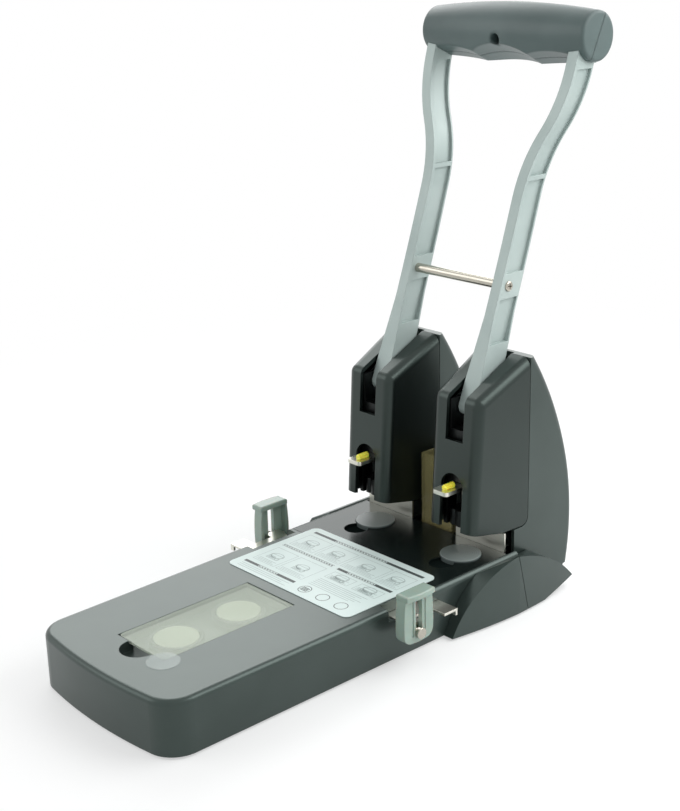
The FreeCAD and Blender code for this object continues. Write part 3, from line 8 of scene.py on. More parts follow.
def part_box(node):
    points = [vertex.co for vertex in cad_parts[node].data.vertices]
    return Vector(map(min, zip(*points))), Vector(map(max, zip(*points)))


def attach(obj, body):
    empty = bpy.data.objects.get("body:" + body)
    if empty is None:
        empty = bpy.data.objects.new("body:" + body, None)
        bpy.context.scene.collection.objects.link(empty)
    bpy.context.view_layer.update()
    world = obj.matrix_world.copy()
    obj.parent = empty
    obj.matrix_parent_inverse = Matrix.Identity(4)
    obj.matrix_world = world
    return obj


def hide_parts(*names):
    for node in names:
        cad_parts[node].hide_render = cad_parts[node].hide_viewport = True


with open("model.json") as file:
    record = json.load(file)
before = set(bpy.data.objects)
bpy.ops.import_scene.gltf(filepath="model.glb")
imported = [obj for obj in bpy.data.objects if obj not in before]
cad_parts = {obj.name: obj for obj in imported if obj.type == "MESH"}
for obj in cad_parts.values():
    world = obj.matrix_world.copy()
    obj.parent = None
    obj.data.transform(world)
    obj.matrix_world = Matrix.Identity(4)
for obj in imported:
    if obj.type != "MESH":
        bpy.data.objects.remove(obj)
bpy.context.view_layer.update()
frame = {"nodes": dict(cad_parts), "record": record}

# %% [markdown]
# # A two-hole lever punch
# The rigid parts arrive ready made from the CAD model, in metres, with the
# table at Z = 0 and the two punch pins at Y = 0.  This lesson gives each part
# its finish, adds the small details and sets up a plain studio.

MM = 0.001
print("parts from the frame:", len(frame["nodes"]))

# %% [markdown]
# ## Camera
# A product shot is taken from a little above with a short telephoto lens.
# The camera's axes are built from its azimuth and elevation, then rolled by
# a small angle, as a hand-levelled tripod would be.

# %% Camera
AZIMUTH, ELEVATION, ROLL = (math.radians(angle) for angle in (47.64, 18.53, -1.39))
CAMERA_PLACE_MM = (621.7, -639.1, 425.9)
LENS_MM, SENSOR_MM = 75.2, 36.0
camera_data = bpy.data.cameras.new("camera")
camera_data.sensor_fit = "HORIZONTAL"
camera_data.sensor_width = SENSOR_MM
camera_data.lens = LENS_MM
camera_data.clip_start = 0.01
camera = bpy.data.objects.new("camera", camera_data)
bpy.context.collection.objects.link(camera)
look = Vector((-math.sin(AZIMUTH) * math.cos(ELEVATION),
               math.cos(AZIMUTH) * math.cos(ELEVATION), -math.sin(ELEVATION)))
right = look.cross(Vector((0, 0, 1))).normalized()
up = right.cross(look)
right_rolled = math.cos(ROLL) * right + math.sin(ROLL) * up
up_rolled = -math.sin(ROLL) * right + math.cos(ROLL) * up
turn = Matrix((right_rolled, up_rolled, -look)).transposed()
camera.matrix_world = Matrix.Translation(Vector(CAMERA_PLACE_MM) * MM) @ turn.to_4x4()
bpy.context.scene.camera = camera
bpy.context.scene.view_settings.view_transform = "Standard"
print("camera at", [round(v, 3) for v in camera.location])

# %% [markdown]
# ## Helpers for materials
# Real finishes are named by their material and how they were made.  Colours
# are written as the hex values a painter would pick, so one function turns
# them to the linear values that the shader works in.  Another adds one node
# with its settings and links.  Nodes could be placed by hand in the editor
# as well, but a function says in one line what a node is set to.

# %% Colour and node helpers
def linear(hex_code):
    """An sRGB hex colour as linear red, green, blue and alpha."""
    channels = [int(hex_code[i:i + 2], 16) / 255 for i in (1, 3, 5)]
    return [c / 12.92 if c <= 0.04045 else ((c + 0.055) / 1.055) ** 2.4 for c in channels] + [1.0]


def add_node(material, kind, settings=None, links=None):
    """Adds one node.  Settings go to its sockets or its own properties; links
    name a socket of this node and the output that feeds it."""
    node = material.node_tree.nodes.new(kind)
    for name, value in (settings or {}).items():
        if name in node.inputs:
            node.inputs[name].default_value = value
        else:
            setattr(node, name, value)
    for name, source in (links or {}).items():
        material.node_tree.links.new(source, node.inputs[name])
    return node


def new_material(name, shader):
    """A material with a principled shader whose constant values are set."""
    material = bpy.data.materials.new(name)
    material.use_nodes = True
    principled = material.node_tree.nodes["Principled BSDF"]
    for socket, value in shader.items():
        principled.inputs[socket].default_value = value
    return material, principled


def feed(material, source, socket):
    """Links an output to a socket of the same material."""
    material.node_tree.links.new(source, socket)


def place_on_part(material):
    """The place on the part in metres, for patterns with real sizes."""
    return add_node(material, "ShaderNodeTexCoord").outputs["Object"]


def tones(material, factor, low, high, low_at=0.3, high_at=0.7):
    """A colour ramp between two hex colours."""
    ramp = add_node(material, "ShaderNodeValToRGB", links={"Fac": factor})
    ramp.color_ramp.elements[0].position = low_at
    ramp.color_ramp.elements[1].position = high_at
    ramp.color_ramp.elements[0].color = linear(low)
    ramp.color_ramp.elements[1].color = linear(high)
    return ramp.outputs["Color"]


print("helpers:", linear.__name__, add_node.__name__, new_material.__name__, tones.__name__)

# %% [markdown]
# ## Moulded plastic
# Most parts are injection-moulded.  Three things make such a skin: a colour
# that drifts a little over some centimetres, the fine grain of the mould and
# the small radius at every edge, which catches a line of light.  One function
# gives all three, with the grain in millimetres, and each plastic below
# brings its own colours and gloss.

# %% Moulded plastic
DRIFT_MM = 30


def moulded(name, low, high, roughness, grain_mm, grain_depth, edge_mm=0.4, shader=None):
    """A plastic with a slow drift of tone, a fine grain and soft edges."""
    values = {"Roughness": roughness, "IOR": 1.5}
    values.update(shader or {})
    material, principled = new_material(name, values)
    place = place_on_part(material)
    drift = add_node(material, "ShaderNodeTexNoise", {"Scale": 1 / (DRIFT_MM * MM), "Detail": 2.0},
                     {"Vector": place})
    feed(material, tones(material, drift.outputs["Fac"], low, high),
         principled.inputs["Base Color"])
    grain = add_node(material, "ShaderNodeTexNoise",
                     {"Scale": 1 / (grain_mm * MM), "Detail": 3.0, "Roughness": 0.6},
                     {"Vector": place})
    edge = add_node(material, "ShaderNodeBevel", {"samples": 4, "Radius": edge_mm * MM})
    bump = add_node(material, "ShaderNodeBump", {"Strength": 1.0, "Distance": grain_depth * MM},
                    {"Height": grain.outputs["Fac"], "Normal": edge.outputs["Normal"]})
    feed(material, bump.outputs["Normal"], principled.inputs["Normal"])
    return material


print("moulded plastic: tone drifts over", DRIFT_MM, "mm")

# %% [markdown]
# ## Moulded black covers
# The base, the heads, the fairings and the rear cover are injection-moulded
# ABS: a charcoal with a touch of green.  The heads' front casings take a
# darker copy of the same skin, nearly black.  The moulds were spark-eroded,
# which leaves a fine satin grain of a quarter of a millimetre.  The edge
# radius catches light along each rim, so the dark shapes read against each
# other.  A bitmap could hold the same grain, but noise has no seams and keeps
# its real size on every part.

# %% Satin black covers
COVER_GLOSS = {"IOR": 1.55, "Specular IOR Level": 0.6, "Specular Tint": linear("#DCF2EA")}
COVER_SKIN = (0.32, 0.25, 0.006, 0.5)
base_cover = moulded("satin_charcoal_abs", "#252D2B", "#2C3432", *COVER_SKIN, COVER_GLOSS)
head_cover = moulded("satin_black_abs", "#0B100F", "#101615", *COVER_SKIN, COVER_GLOSS)
print("covers:", base_cover.name, head_cover.name)

# %% [markdown]
# ## Soft-touch grip
# The handle is moulded in two halves of a slate-green nylon with a matt,
# slightly rubbery skin.  It is rougher than the covers, so it shows one broad
# highlight instead of a mirrored window.  Its edge radius is wide, so the
# finger hollows run softly into each other.

# %% Slate grip
grip_skin = moulded("slate_grip_nylon", "#465655", "#50605F", 0.4, 0.4, 0.02, 3.0)
print("grip:", grip_skin.name)

# %% [markdown]
# ## Glossy black bed
# The punching bed is a separate plate under a hard gloss lacquer, so paper
# slides over it.  A low roughness gives clear reflections of the heads and
# discs.  The thumb recesses are below the lacquered face and stay matt, and
# their reflection is switched off as painted shade, so they read as black
# hollows.  They could be parts of their own, but one mask on height tells the
# two skins apart without cutting the bed.

# %% Gloss bed
def height_mask(material, low_mm, high_mm):
    """Grows from 0 to 1 between two heights on the object."""
    parts = add_node(material, "ShaderNodeSeparateXYZ", links={"Vector": place_on_part(material)})
    mask = add_node(material, "ShaderNodeMapRange",
                    {"From Min": low_mm * MM, "From Max": high_mm * MM},
                    {"Value": parts.outputs["Z"]})
    return mask.outputs["Result"]


BED_TOP_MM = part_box("bed")[1].z / MM
MATT, GLOSSY = 0.95, 0.2
RECESS_SHADE_LEVEL, BRIGHT = 0.0, 0.4
bed_lacquer = moulded("gloss_black_lacquer", "#0E1413", "#151C1B", 0.16, 0.6, 0.002, 0.4,
                      {"Specular Tint": linear("#D8EDE6")})
bed_shader = bed_lacquer.node_tree.nodes["Principled BSDF"]
on_top = height_mask(bed_lacquer, BED_TOP_MM - 1.2, BED_TOP_MM - 0.4)
gloss = add_node(bed_lacquer, "ShaderNodeMapRange", {"To Min": MATT, "To Max": GLOSSY},
                 {"Value": on_top})
# Painted shade: no reflection at all below the lacquered face, so the thumb recesses go black.
lacquer_sheen_and_recess_shade = add_node(bed_lacquer, "ShaderNodeMapRange", {"To Min": RECESS_SHADE_LEVEL, "To Max": BRIGHT},
                 {"Value": on_top})
feed(bed_lacquer, gloss.outputs["Result"], bed_shader.inputs["Roughness"])
feed(bed_lacquer, lacquer_sheen_and_recess_shade.outputs["Result"], bed_shader.inputs["Specular IOR Level"])
print("bed:", bed_lacquer.name)

# %% [markdown]
# ## Turned cutting discs
# Each pin punches into a soft plastic disc, which was faced on a lathe.  The
# tool leaves fine rings.  Real ones are a tenth of a millimetre apart, too
# fine to show here, so they are drawn 1.4 mm apart.  Rings could be modelled,
# but the distance from the disc's own centre, read from the CAD part, can
# drive a wave, which costs no faces and stays concentric.  The same wave
# lightens and darkens the disc's grey, a painted shade and highlight on each
# ring.  The spare discs in the store are new and plain.

# %% Ringed discs
RING_PITCH_MM, RING_DEPTH_MM = 1.4, 0.1
DISC_GREY_AND_RING_SHADE = ("#5A6463", "#86918F")


def centre_of(node):
    """The middle of a part's box."""
    low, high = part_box(node)
    return [(a + b) / 2 for a, b in zip(low, high)]


def faced(name, centre):
    """A faced disc: rings round its centre in height, and painted ring shade in tone."""
    material, principled = new_material(name, {"Roughness": 0.34, "IOR": 1.5})
    place = place_on_part(material)
    flat = add_node(material, "ShaderNodeVectorMath", {"operation": "MULTIPLY"}, {0: place})
    flat.inputs[1].default_value = (1, 1, 0)
    reach = add_node(material, "ShaderNodeVectorMath", {"operation": "DISTANCE"},
                     {0: flat.outputs["Vector"]})
    reach.inputs[1].default_value = (centre[0], centre[1], 0)
    turns = add_node(material, "ShaderNodeMath", {"operation": "MULTIPLY"},
                     {0: reach.outputs["Value"]})
    turns.inputs[1].default_value = 2 * math.pi / (RING_PITCH_MM * MM)
    wave = add_node(material, "ShaderNodeMath", {"operation": "SINE"}, {0: turns.outputs["Value"]})
    height = add_node(material, "ShaderNodeMapRange", {"From Min": -1.0, "From Max": 1.0},
                      {"Value": wave.outputs["Value"]})
    # Painted shade and highlight: the tone follows the ring wave, over the disc's own grey.
    feed(material, tones(material, height.outputs["Result"], *DISC_GREY_AND_RING_SHADE, 0.0, 1.0),
         principled.inputs["Base Color"])
    edge = add_node(material, "ShaderNodeBevel", {"samples": 4, "Radius": 0.5 * MM})
    bump = add_node(material, "ShaderNodeBump", {"Strength": 1.0, "Distance": RING_DEPTH_MM * MM},
                    {"Height": height.outputs["Result"], "Normal": edge.outputs["Normal"]})
    feed(material, bump.outputs["Normal"], principled.inputs["Normal"])
    return material


left_disc = faced("faced_disc_left", centre_of("cutting_disc_left"))
right_disc = faced("faced_disc_right", centre_of("cutting_disc_right"))
spare_disc = moulded("natural_polyethylene_disc", "#DDE3C8", "#E6EBD2", 0.4, 0.4, 0.01, 0.5)
print("discs:", left_disc.name, right_disc.name, spare_disc.name)

# %% [markdown]
# ## Painted cast arms
# The two arms are die-cast aluminium under a thin silver paint.  The paint's
# metal flake gives a bright, broad sheen, and the casting's slight orange
# peel shows as a soft unevenness a millimetre or so wide.  A full metal would
# mirror the room too sharply, so the paint is only part metallic.

# %% Silver arms
cast_arm = moulded("silver_painted_casting", "#9DABA8", "#A9B6B3", 0.46, 1.2, 0.02, 0.5,
                   {"Metallic": 0.2, "Coat Weight": 0.1, "Coat Roughness": 0.3})
print("arms:", cast_arm.name)

# %% [markdown]
# ## Metals
# Sheet-steel frames and rams are blackened or bare, pins and the crossbar are
# ground and plated, and the guide slides are zinc plated.  Each is a metal
# with its own tone and roughness.  Long thin noise, stretched along the
# length of the part, is the mark of grinding or rolling.  It could come from
# a bitmap too, but then each part would need its own unwrapping.

# %% Ground, plated and bare metals
MARK_MM = 0.5


def brushed(name, low, high, roughness, stretch, mark_depth, metallic=1.0):
    """Metal with fine marks drawn out along one direction."""
    material, principled = new_material(name, {"Metallic": metallic, "Roughness": roughness})
    stretched = add_node(material, "ShaderNodeMapping", links={"Vector": place_on_part(material)})
    stretched.inputs["Scale"].default_value = stretch
    marks = add_node(material, "ShaderNodeTexNoise", {"Scale": 1 / (MARK_MM * MM), "Detail": 3.0},
                     {"Vector": stretched.outputs["Vector"]})
    feed(material, tones(material, marks.outputs["Fac"], low, high),
         principled.inputs["Base Color"])
    edge = add_node(material, "ShaderNodeBevel", {"samples": 4, "Radius": 0.3 * MM})
    bump = add_node(material, "ShaderNodeBump", {"Strength": 1.0, "Distance": mark_depth * MM},
                    {"Height": marks.outputs["Fac"], "Normal": edge.outputs["Normal"]})
    feed(material, bump.outputs["Normal"], principled.inputs["Normal"])
    return material


ALONG_X, ALONG_Z = (0.05, 1.0, 1.0), (1.0, 1.0, 0.05)
plated_steel = brushed("plated_bright_steel", "#A8A499", "#BEBAAF", 0.18, ALONG_X, 0.002)
zinc_plate = brushed("zinc_plated_sheet", "#D2D1C6", "#E0DFD5", 0.30, ALONG_X, 0.004)
frame_steel = brushed("zinc_primed_sheet_steel", "#7F8B87", "#8D9894", 0.36, ALONG_Z, 0.006, 0.8)
ram_steel = brushed("black_oxide_steel", "#1A1C1C", "#272A2A", 0.32, ALONG_Z, 0.006, 0.7)
print("metals:", plated_steel.name, zinc_plate.name, frame_steel.name, ram_steel.name)

# %% [markdown]
# ## Steel dark at the front
# The front edges of the frames are dark ahead of a line, and the steel behind
# is left bare.  The bed plate's black front under the heads is painted shade,
# which darkens the thumb recesses.  A second part could carry the dark tone.
# A colour that changes across a line on the part's own Y is simpler, and the
# line stays sharp from close by.

# %% Dark up to a line
TONE_EDGE_FADE_MM = 0.5


def darker_ahead_of(material, axis, edge_mm, paint, bare):
    """A dark tone ahead of a line across the part, bare metal behind it."""
    parts = add_node(material, "ShaderNodeSeparateXYZ", links={"Vector": place_on_part(material)})
    behind = add_node(material, "ShaderNodeMapRange",
                      {"From Min": (edge_mm - TONE_EDGE_FADE_MM) * MM,
                       "From Max": (edge_mm + TONE_EDGE_FADE_MM) * MM},
                      {"Value": parts.outputs[axis]})
    feed(material, tones(material, behind.outputs["Result"], paint, bare),
         material.node_tree.nodes["Principled BSDF"].inputs["Base Color"])


bed_plate_steel = brushed("bed_plate_steel_painted_shade", "#87928E", "#97A29E", 0.34, ALONG_X, 0.006,
                          0.9)
# Painted shade: the bed plate's black front darkens the thumb recesses under the heads.
darker_ahead_of(bed_plate_steel, "Y", 20.0, "#0C0E0E", "#8F9A96")
darker_ahead_of(frame_steel, "Y", 2.5, "#111615", "#8D9994")
print("painted in part:", bed_plate_steel.name, frame_steel.name)

# %% [markdown]
# ## Translucent plastics
# The paper guides are a grey-green polycarbonate that lets a little light in,
# so their thin walls glow slightly.  The lid over the spare discs is a milky
# sheet of the same family and the box between the heads is a smoky amber one.
# The round seal is a thin clear film.  These thin sheets are part see-through
# and part milky.  Straight see-through paths keep them clean and light, where
# true refraction through a millimetre of plastic would only add noise.

# %% Guides, lid, box and film
guide_plastic = moulded("grey_green_polycarbonate", "#899D92", "#93A69B", 0.24, 0.5, 0.004, 0.6,
                        {"Subsurface Weight": 0.2, "Subsurface Scale": 0.004,
                         "Coat Weight": 0.2, "Coat Roughness": 0.1})
milky_lid = moulded("milky_acrylic_lid", "#ABB9A6", "#B3C1AE", 0.14, 6.0, 0.0005, 0.3,
                    {"Alpha": 0.42})
amber_box = moulded("smoky_amber_styrene", "#A29A6A", "#ABA374", 0.10, 2.0, 0.002, 0.4,
                    {"Alpha": 0.45})
seal_film = moulded("clear_seal_film", "#BCCAC6", "#C6D3CF", 0.2, 1.5, 0.004, 0.1,
                    {"Alpha": 0.24})
print("clear parts:", guide_plastic.name, milky_lid.name, amber_box.name, seal_film.name)

# %% [markdown]
# ## Sticker, catches and feet
# The sticker is silver-grey polyester, printed with pale and dark grey ink.
# The release catches are a glossy yellow acetal, which lets a little light
# in, and the feet are matt rubber.  All of them are moulded or cast skins, so
# the same function serves, with more or less gloss.

# %% Sticker, inks, catches and rubber
sticker_film = moulded("silver_polyester_sticker", "#C2D2CF", "#C8D7D4", 0.42, 0.5, 0.003, 0.2)
dark_ink = moulded("dark_grey_ink", "#2F3938", "#3B4544", 0.5, 0.4, 0.001, 0.1)
pale_ink = moulded("pale_grey_ink", "#8C9C9A", "#96A6A4", 0.5, 0.4, 0.001, 0.1)
yellow_catch = moulded("yellow_acetal", "#FFF04A", "#FFF45E", 0.25, 0.4, 0.004, 0.3,
                       {"Subsurface Weight": 0.3, "Subsurface Scale": 0.003})
rubber = moulded("black_rubber", "#121413", "#191B1A", 0.75, 0.5, 0.03, 0.3)
print("small parts:", sticker_film.name, dark_ink.name, pale_ink.name, yellow_catch.name,
      rubber.name)

# %% [markdown]
# ## Handing out the finishes
# Every rigid part names a slot for its finish in its record.  One table
# gives each slot its material, and a second one holds the parts that differ.
# Choosing by hand part by part would work as well, but a table shows at a
# glance what is made of what.

# %% Assign the finishes
FINISH = {
    "shell": base_cover, "grip": grip_skin, "bed_black": bed_lacquer, "cast_arm": cast_arm,
    "steel": frame_steel, "bright_steel": plated_steel, "zinc_plate": zinc_plate,
    "ram_steel": ram_steel, "guide_plastic": guide_plastic, "clear_lid": milky_lid,
    "tinted_box": amber_box, "label": sticker_film, "seal": seal_film,
    "latch_yellow": yellow_catch, "rubber": rubber, "disc_plastic": spare_disc,
}
OWN_FINISH = {
    "cutting_disc_left": left_disc, "cutting_disc_right": right_disc, "bed_plate": bed_plate_steel,
    "head_casing_left": head_cover, "head_casing_right": head_cover,
}
slots = {part["node"]: part["material_slot"] for part in frame["record"]["subparts"]}
for name, thing in frame["nodes"].items():
    thing.data.materials.clear()
    thing.data.materials.append(OWN_FINISH.get(name, FINISH[slots[name]]))
print("finished parts:", len(slots))

# %% [markdown]
# ## Turned pieces
# Collars, the seal and the screws are all round, so they are turned like work
# on a lathe: a profile of distances and radii goes round an axis.  Blender's
# Spin or a cylinder with bevels could do the same, but a profile states every
# step in millimetres.  A second helper makes a mesh from such a drawing, gives
# it its finish and lets it ride on a body of the machine.

# %% Lathe and piece helpers
def turned(mesh, profile, centre, axis, sides):
    """Turns a profile of (distance along, radius) in mm round an axis."""
    across = Vector((0, 1, 0)) if abs(axis.x) > 0.5 else Vector((1, 0, 0))
    other = axis.cross(across)
    rings = []
    for along, radius in profile:
        ring = []
        for k in range(sides):
            angle = 2 * math.pi * k / sides
            out = across * (radius * math.cos(angle)) + other * (radius * math.sin(angle))
            ring.append(mesh.verts.new(centre + (axis * along + out) * MM))
        rings.append(ring)
    for ring, after in zip(rings, rings[1:]):
        for k in range(sides):
            following = (k + 1) % sides
            mesh.faces.new((ring[k], after[k], after[following], ring[following]))


def new_piece(name, draw, material, body, slot):
    """A mesh drawn by a function, finished, and riding on a body."""
    mesh = bmesh.new()
    draw(mesh)
    bmesh.ops.recalc_face_normals(mesh, faces=mesh.faces)
    data = bpy.data.meshes.new(name)
    mesh.to_mesh(data)
    mesh.free()
    piece = bpy.data.objects.new(name, data)
    bpy.context.collection.objects.link(piece)
    piece.data.materials.append(material)
    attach(piece, body)
    return piece


print("lathe ready:", turned.__name__, new_piece.__name__)

# %% [markdown]
# ## Disc wells
# Under the lid each spare disc sits in a round well of the store.  Its collar
# shows through the milky lid as a darker ring.  A dark ring painted on the
# floor of the store would look flat when the lid is open, so the collar is
# turned, with a rounded rim.

# %% Collars round the spare discs
UP = Vector((0, 0, 1))
spare_low, spare_high = (Vector(corner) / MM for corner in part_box("spare_discs"))
DISC_RADIUS = (spare_high.x - spare_low.x) / 2
COLLAR_IN, COLLAR_OUT = DISC_RADIUS + 0.5, DISC_RADIUS + 2.9
COLLAR_TOP, COLLAR_ROUND, COLLAR_SIDES = 3.9, 0.5, 64
SHOULDER = COLLAR_TOP - COLLAR_ROUND
collar_profile = [(0.0, COLLAR_OUT), (SHOULDER, COLLAR_OUT),
                  (COLLAR_TOP, COLLAR_OUT - COLLAR_ROUND),
                  (COLLAR_TOP, COLLAR_IN + COLLAR_ROUND), (SHOULDER, COLLAR_IN),
                  (0.0, COLLAR_IN), (0.0, COLLAR_OUT)]
well_plastic = moulded("well_collar_abs", "#27302C", "#303A35", 0.4, 0.4, 0.004, 0.4)
for name, middle in (("front", spare_low.y + DISC_RADIUS), ("rear", spare_high.y - DISC_RADIUS)):
    seat = Vector(((spare_low.x + spare_high.x) / 2, middle, spare_low.z)) * MM
    collar = new_piece(f"well_collar_{name}",
                       lambda mesh: turned(mesh, collar_profile, seat, UP, COLLAR_SIDES),
                       well_plastic, "base", "shell")
    print("collar:", collar.name, len(collar.data.polygons), "faces")

# %% [markdown]
# ## Seal over the lid's corner
# A round clear seal holds the lid shut until first use.  It is a thin film
# with a soft edge.  The plain disc of the CAD model touches the lid, and two
# see-through faces in one plane would flicker.  So the film is turned anew
# and lies a hair above the lid.

# %% Seal film
FILM_GAP, FILM_SIDES, HUB = 0.03, 96, 0.01
seal_low, seal_high = (Vector(corner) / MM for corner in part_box("lid_seal"))
SEAL_RADIUS = (seal_high.x - seal_low.x) / 2
FILM_THICK = seal_high.z - seal_low.z
film_profile = [(FILM_GAP, HUB), (FILM_GAP, SEAL_RADIUS - 0.2),
                (FILM_THICK / 2, SEAL_RADIUS - 0.02),
                (FILM_THICK - 0.02, SEAL_RADIUS - 0.25), (FILM_THICK - 0.01, HUB)]
film_seat = Vector(((seal_low.x + seal_high.x) / 2, (seal_low.y + seal_high.y) / 2,
                    seal_low.z)) * MM
film = new_piece("lid_seal_film",
                 lambda mesh: turned(mesh, film_profile, film_seat, UP, FILM_SIDES),
                 seal_film, "lid", "seal")
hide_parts("lid_seal")
print("seal:", film.name, len(film.data.polygons), "faces")

# %% [markdown]
# ## Printed sticker
# The sticker behind the disc store carries small diagrams in the usual
# layout of an instruction panel.  Here it is kept generic: heading bars,
# ruled lines in place of sentences, plain outlines and three rings, with no
# letters.  The ink is real geometry, flat faces a few hundredths of a
# millimetre above the sticker, so it stays sharp from close by, where a
# stretched bitmap would blur.

# %% Ink shapes
INK_LIFT = 0.03
sticker_low, sticker_high = (Vector(corner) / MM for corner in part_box("label_panel"))
INK_Z = sticker_high.z + INK_LIFT


def on_sticker(across, along):
    """A place on the sticker, both from 0 to 1: left to right, rear to front."""
    return Vector((sticker_low.x + across * (sticker_high.x - sticker_low.x),
                   sticker_high.y - along * (sticker_high.y - sticker_low.y), INK_Z)) * MM


def ink_bar(mesh, start, end, along, width_mm):
    """A bar of ink across the sticker."""
    half = Vector((0, width_mm / 2 * MM, 0))
    left, far = on_sticker(start, along), on_sticker(end, along)
    corners = (left - half, far - half, far + half, left + half)
    mesh.faces.new([mesh.verts.new(corner) for corner in corners])


def ink_ring(mesh, across, along, radius_mm, line_mm, stretch=1.0, sides=40):
    """An outline that is round, or oval where it is stretched."""
    centre = on_sticker(across, along)
    angles = [2 * math.pi * k / sides for k in range(sides)]
    rings = []
    for radius in (radius_mm - line_mm, radius_mm):
        rings.append([mesh.verts.new(centre + Vector((stretch * radius * math.cos(angle),
                                                      radius * math.sin(angle), 0)) * MM)
                      for angle in angles])
    for k in range(sides):
        after = (k + 1) % sides
        mesh.faces.new((rings[0][k], rings[1][k], rings[1][after], rings[0][after]))


def ink_frame(mesh, left, rear, right, front, line_mm):
    """A rectangular outline."""
    ink_bar(mesh, left, right, rear, line_mm)
    ink_bar(mesh, left, right, front, line_mm)
    side = line_mm / (sticker_high.x - sticker_low.x)
    height_mm = (front - rear) * (sticker_high.y - sticker_low.y)
    for across in (left, right - side):
        ink_bar(mesh, across, across + side, (rear + front) / 2, height_mm)


print("sticker:", round((sticker_high.x - sticker_low.x) / MM, 1), "mm wide")

# %% [markdown]
# ## Dark ink
# Heading bars, ruled bands with a row of dashes in place of a title, and
# three rings at the front.  Places run from 0 to 1 across and along the
# sticker, so the layout keeps its shape when the sticker's size changes.

# %% Dark heading bars and rings
HEADINGS = ((0.05, 0.235, 0.085), (0.66, 0.95, 0.085), (0.52, 0.60, 0.445),
            (0.82, 0.95, 0.445), (0.05, 0.17, 0.86), (0.33, 0.48, 0.86))
BANDS = ((0.235, 0.66, 0.085), (0.60, 0.82, 0.445), (0.17, 0.33, 0.86), (0.05, 0.48, 0.44))
SYMBOLS = ((0.585, 4), (0.73, 0), (0.875, 0))
HEADING_MM, RULE_MM, DASH_MM, SYMBOL_MM, SYMBOL_LINE_MM = 2.6, 0.35, 0.9, 4.6, 0.5
BAND_HALF, DASH_PITCH, SYMBOL_ROW = 0.0145, 0.022, 0.885


def draw_dark(mesh):
    """Headings, bands of dashes between two rules, and rings."""
    for start, end, along in HEADINGS:
        ink_bar(mesh, start, end, along, HEADING_MM)
    for start, end, along in BANDS:
        ink_bar(mesh, start, end, along - BAND_HALF, RULE_MM)
        ink_bar(mesh, start, end, along + BAND_HALF, RULE_MM)
        dashes = round((end - start) / DASH_PITCH)
        for k in range(dashes):
            left = start + (k + 0.15) * (end - start) / dashes
            ink_bar(mesh, left, left + 0.6 * (end - start) / dashes, along, DASH_MM)
    for across, spokes in SYMBOLS:
        ink_ring(mesh, across, SYMBOL_ROW, SYMBOL_MM, SYMBOL_LINE_MM)
        for k in range(spokes):
            ink_bar(mesh, across - 0.025, across + 0.025, SYMBOL_ROW - 0.023 + 0.015 * k, 0.7)


dark_print = new_piece("sticker_dark_ink", draw_dark, dark_ink, "base", "label")
print("dark ink faces:", len(dark_print.data.polygons))

# %% [markdown]
# ## Pale ink
# Eight framed diagrams stand in two rows, each with an oval, a box, a small
# ring and some short lines, and plain ruled lines fill the rest.  They are
# thinner and paler than the headings, so they recede as print does.

# %% Pale diagrams and ruled lines
DIAGRAMS = ((0.06, 0.26, 0.15, 0.39), (0.28, 0.48, 0.15, 0.39), (0.50, 0.76, 0.15, 0.39),
            (0.78, 0.95, 0.15, 0.39), (0.06, 0.24, 0.51, 0.79), (0.26, 0.48, 0.51, 0.79),
            (0.54, 0.72, 0.50, 0.62), (0.76, 0.94, 0.50, 0.62))
FRAME_MM, PART_MM, FINE_MM = 0.3, 0.4, 0.35


def draw_diagram(mesh, left, right, rear, front):
    """A frame with a little drawing and three lines under it."""
    ink_frame(mesh, left, rear, right, front, FRAME_MM)
    across, along = (left + right) / 2, (rear + front) / 2
    ink_ring(mesh, across, along - 0.02, 3.6, PART_MM, 1.5)
    ink_frame(mesh, across - 0.05, along - 0.03, across + 0.04, along + 0.05, FINE_MM)
    ink_ring(mesh, across + 0.03, along + 0.03, 1.8, PART_MM)
    for step in range(5):
        start = across - 0.045 + 0.006 * (step % 2)
        ink_bar(mesh, start, start + 0.05, along + 0.004 + 0.009 * step, FINE_MM)
    for step in range(3):
        ink_bar(mesh, left + 0.015, right - 0.02 - 0.02 * (step % 2), front - 0.055 + 0.018 * step,
                FINE_MM)


def draw_pale(mesh):
    """All diagrams, and two blocks of ruled lines."""
    for left, right, rear, front in DIAGRAMS:
        draw_diagram(mesh, left, right, rear, front)
    for row in range(6):
        ink_bar(mesh, 0.54, 0.92 - 0.03 * (row % 3), 0.665 + 0.025 * row, PART_MM)
    for row in range(3):
        ink_bar(mesh, 0.06, 0.47 - 0.05 * (row % 2), 0.905 + 0.025 * row, PART_MM)


pale_print = new_piece("sticker_pale_ink", draw_pale, pale_ink, "base", "label")
print("pale ink faces:", len(pale_print.data.polygons))

# %% [markdown]
# ## Screw heads on the crossbar
# The crossbar is held by a pan-head screw through each arm.  A domed head
# turned from a profile replaces the plain disc of the CAD part, because the
# eye goes to that bright point on the arm.  The cross for the driver could be
# drawn on in black, but a recess cut with a Boolean catches light as steel
# does.

# %% Pan-head screws
HEAD_HEIGHT, RECESS_HALF, RECESS_REACH, RECESS_DEPTH = 1.4, 0.42, 1.9, 0.9
RECESS_ABOVE, SCREW_SIDES = 0.5, 32
SHANK_RADIUS, SHANK_LENGTH = 2.0, 12.0
screws_low, screws_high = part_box("crossbar_screws")
HEAD_RADIUS = (screws_high.z - screws_low.z) / 2 / MM
PAN_PROFILE = [(-SHANK_LENGTH, HUB), (-SHANK_LENGTH, SHANK_RADIUS), (0.0, SHANK_RADIUS),
               (0.0, HEAD_RADIUS), (0.5, HEAD_RADIUS), (0.9, 0.92 * HEAD_RADIUS),
               (1.2, 0.75 * HEAD_RADIUS), (HEAD_HEIGHT, 0.4 * HEAD_RADIUS), (HEAD_HEIGHT, HUB)]


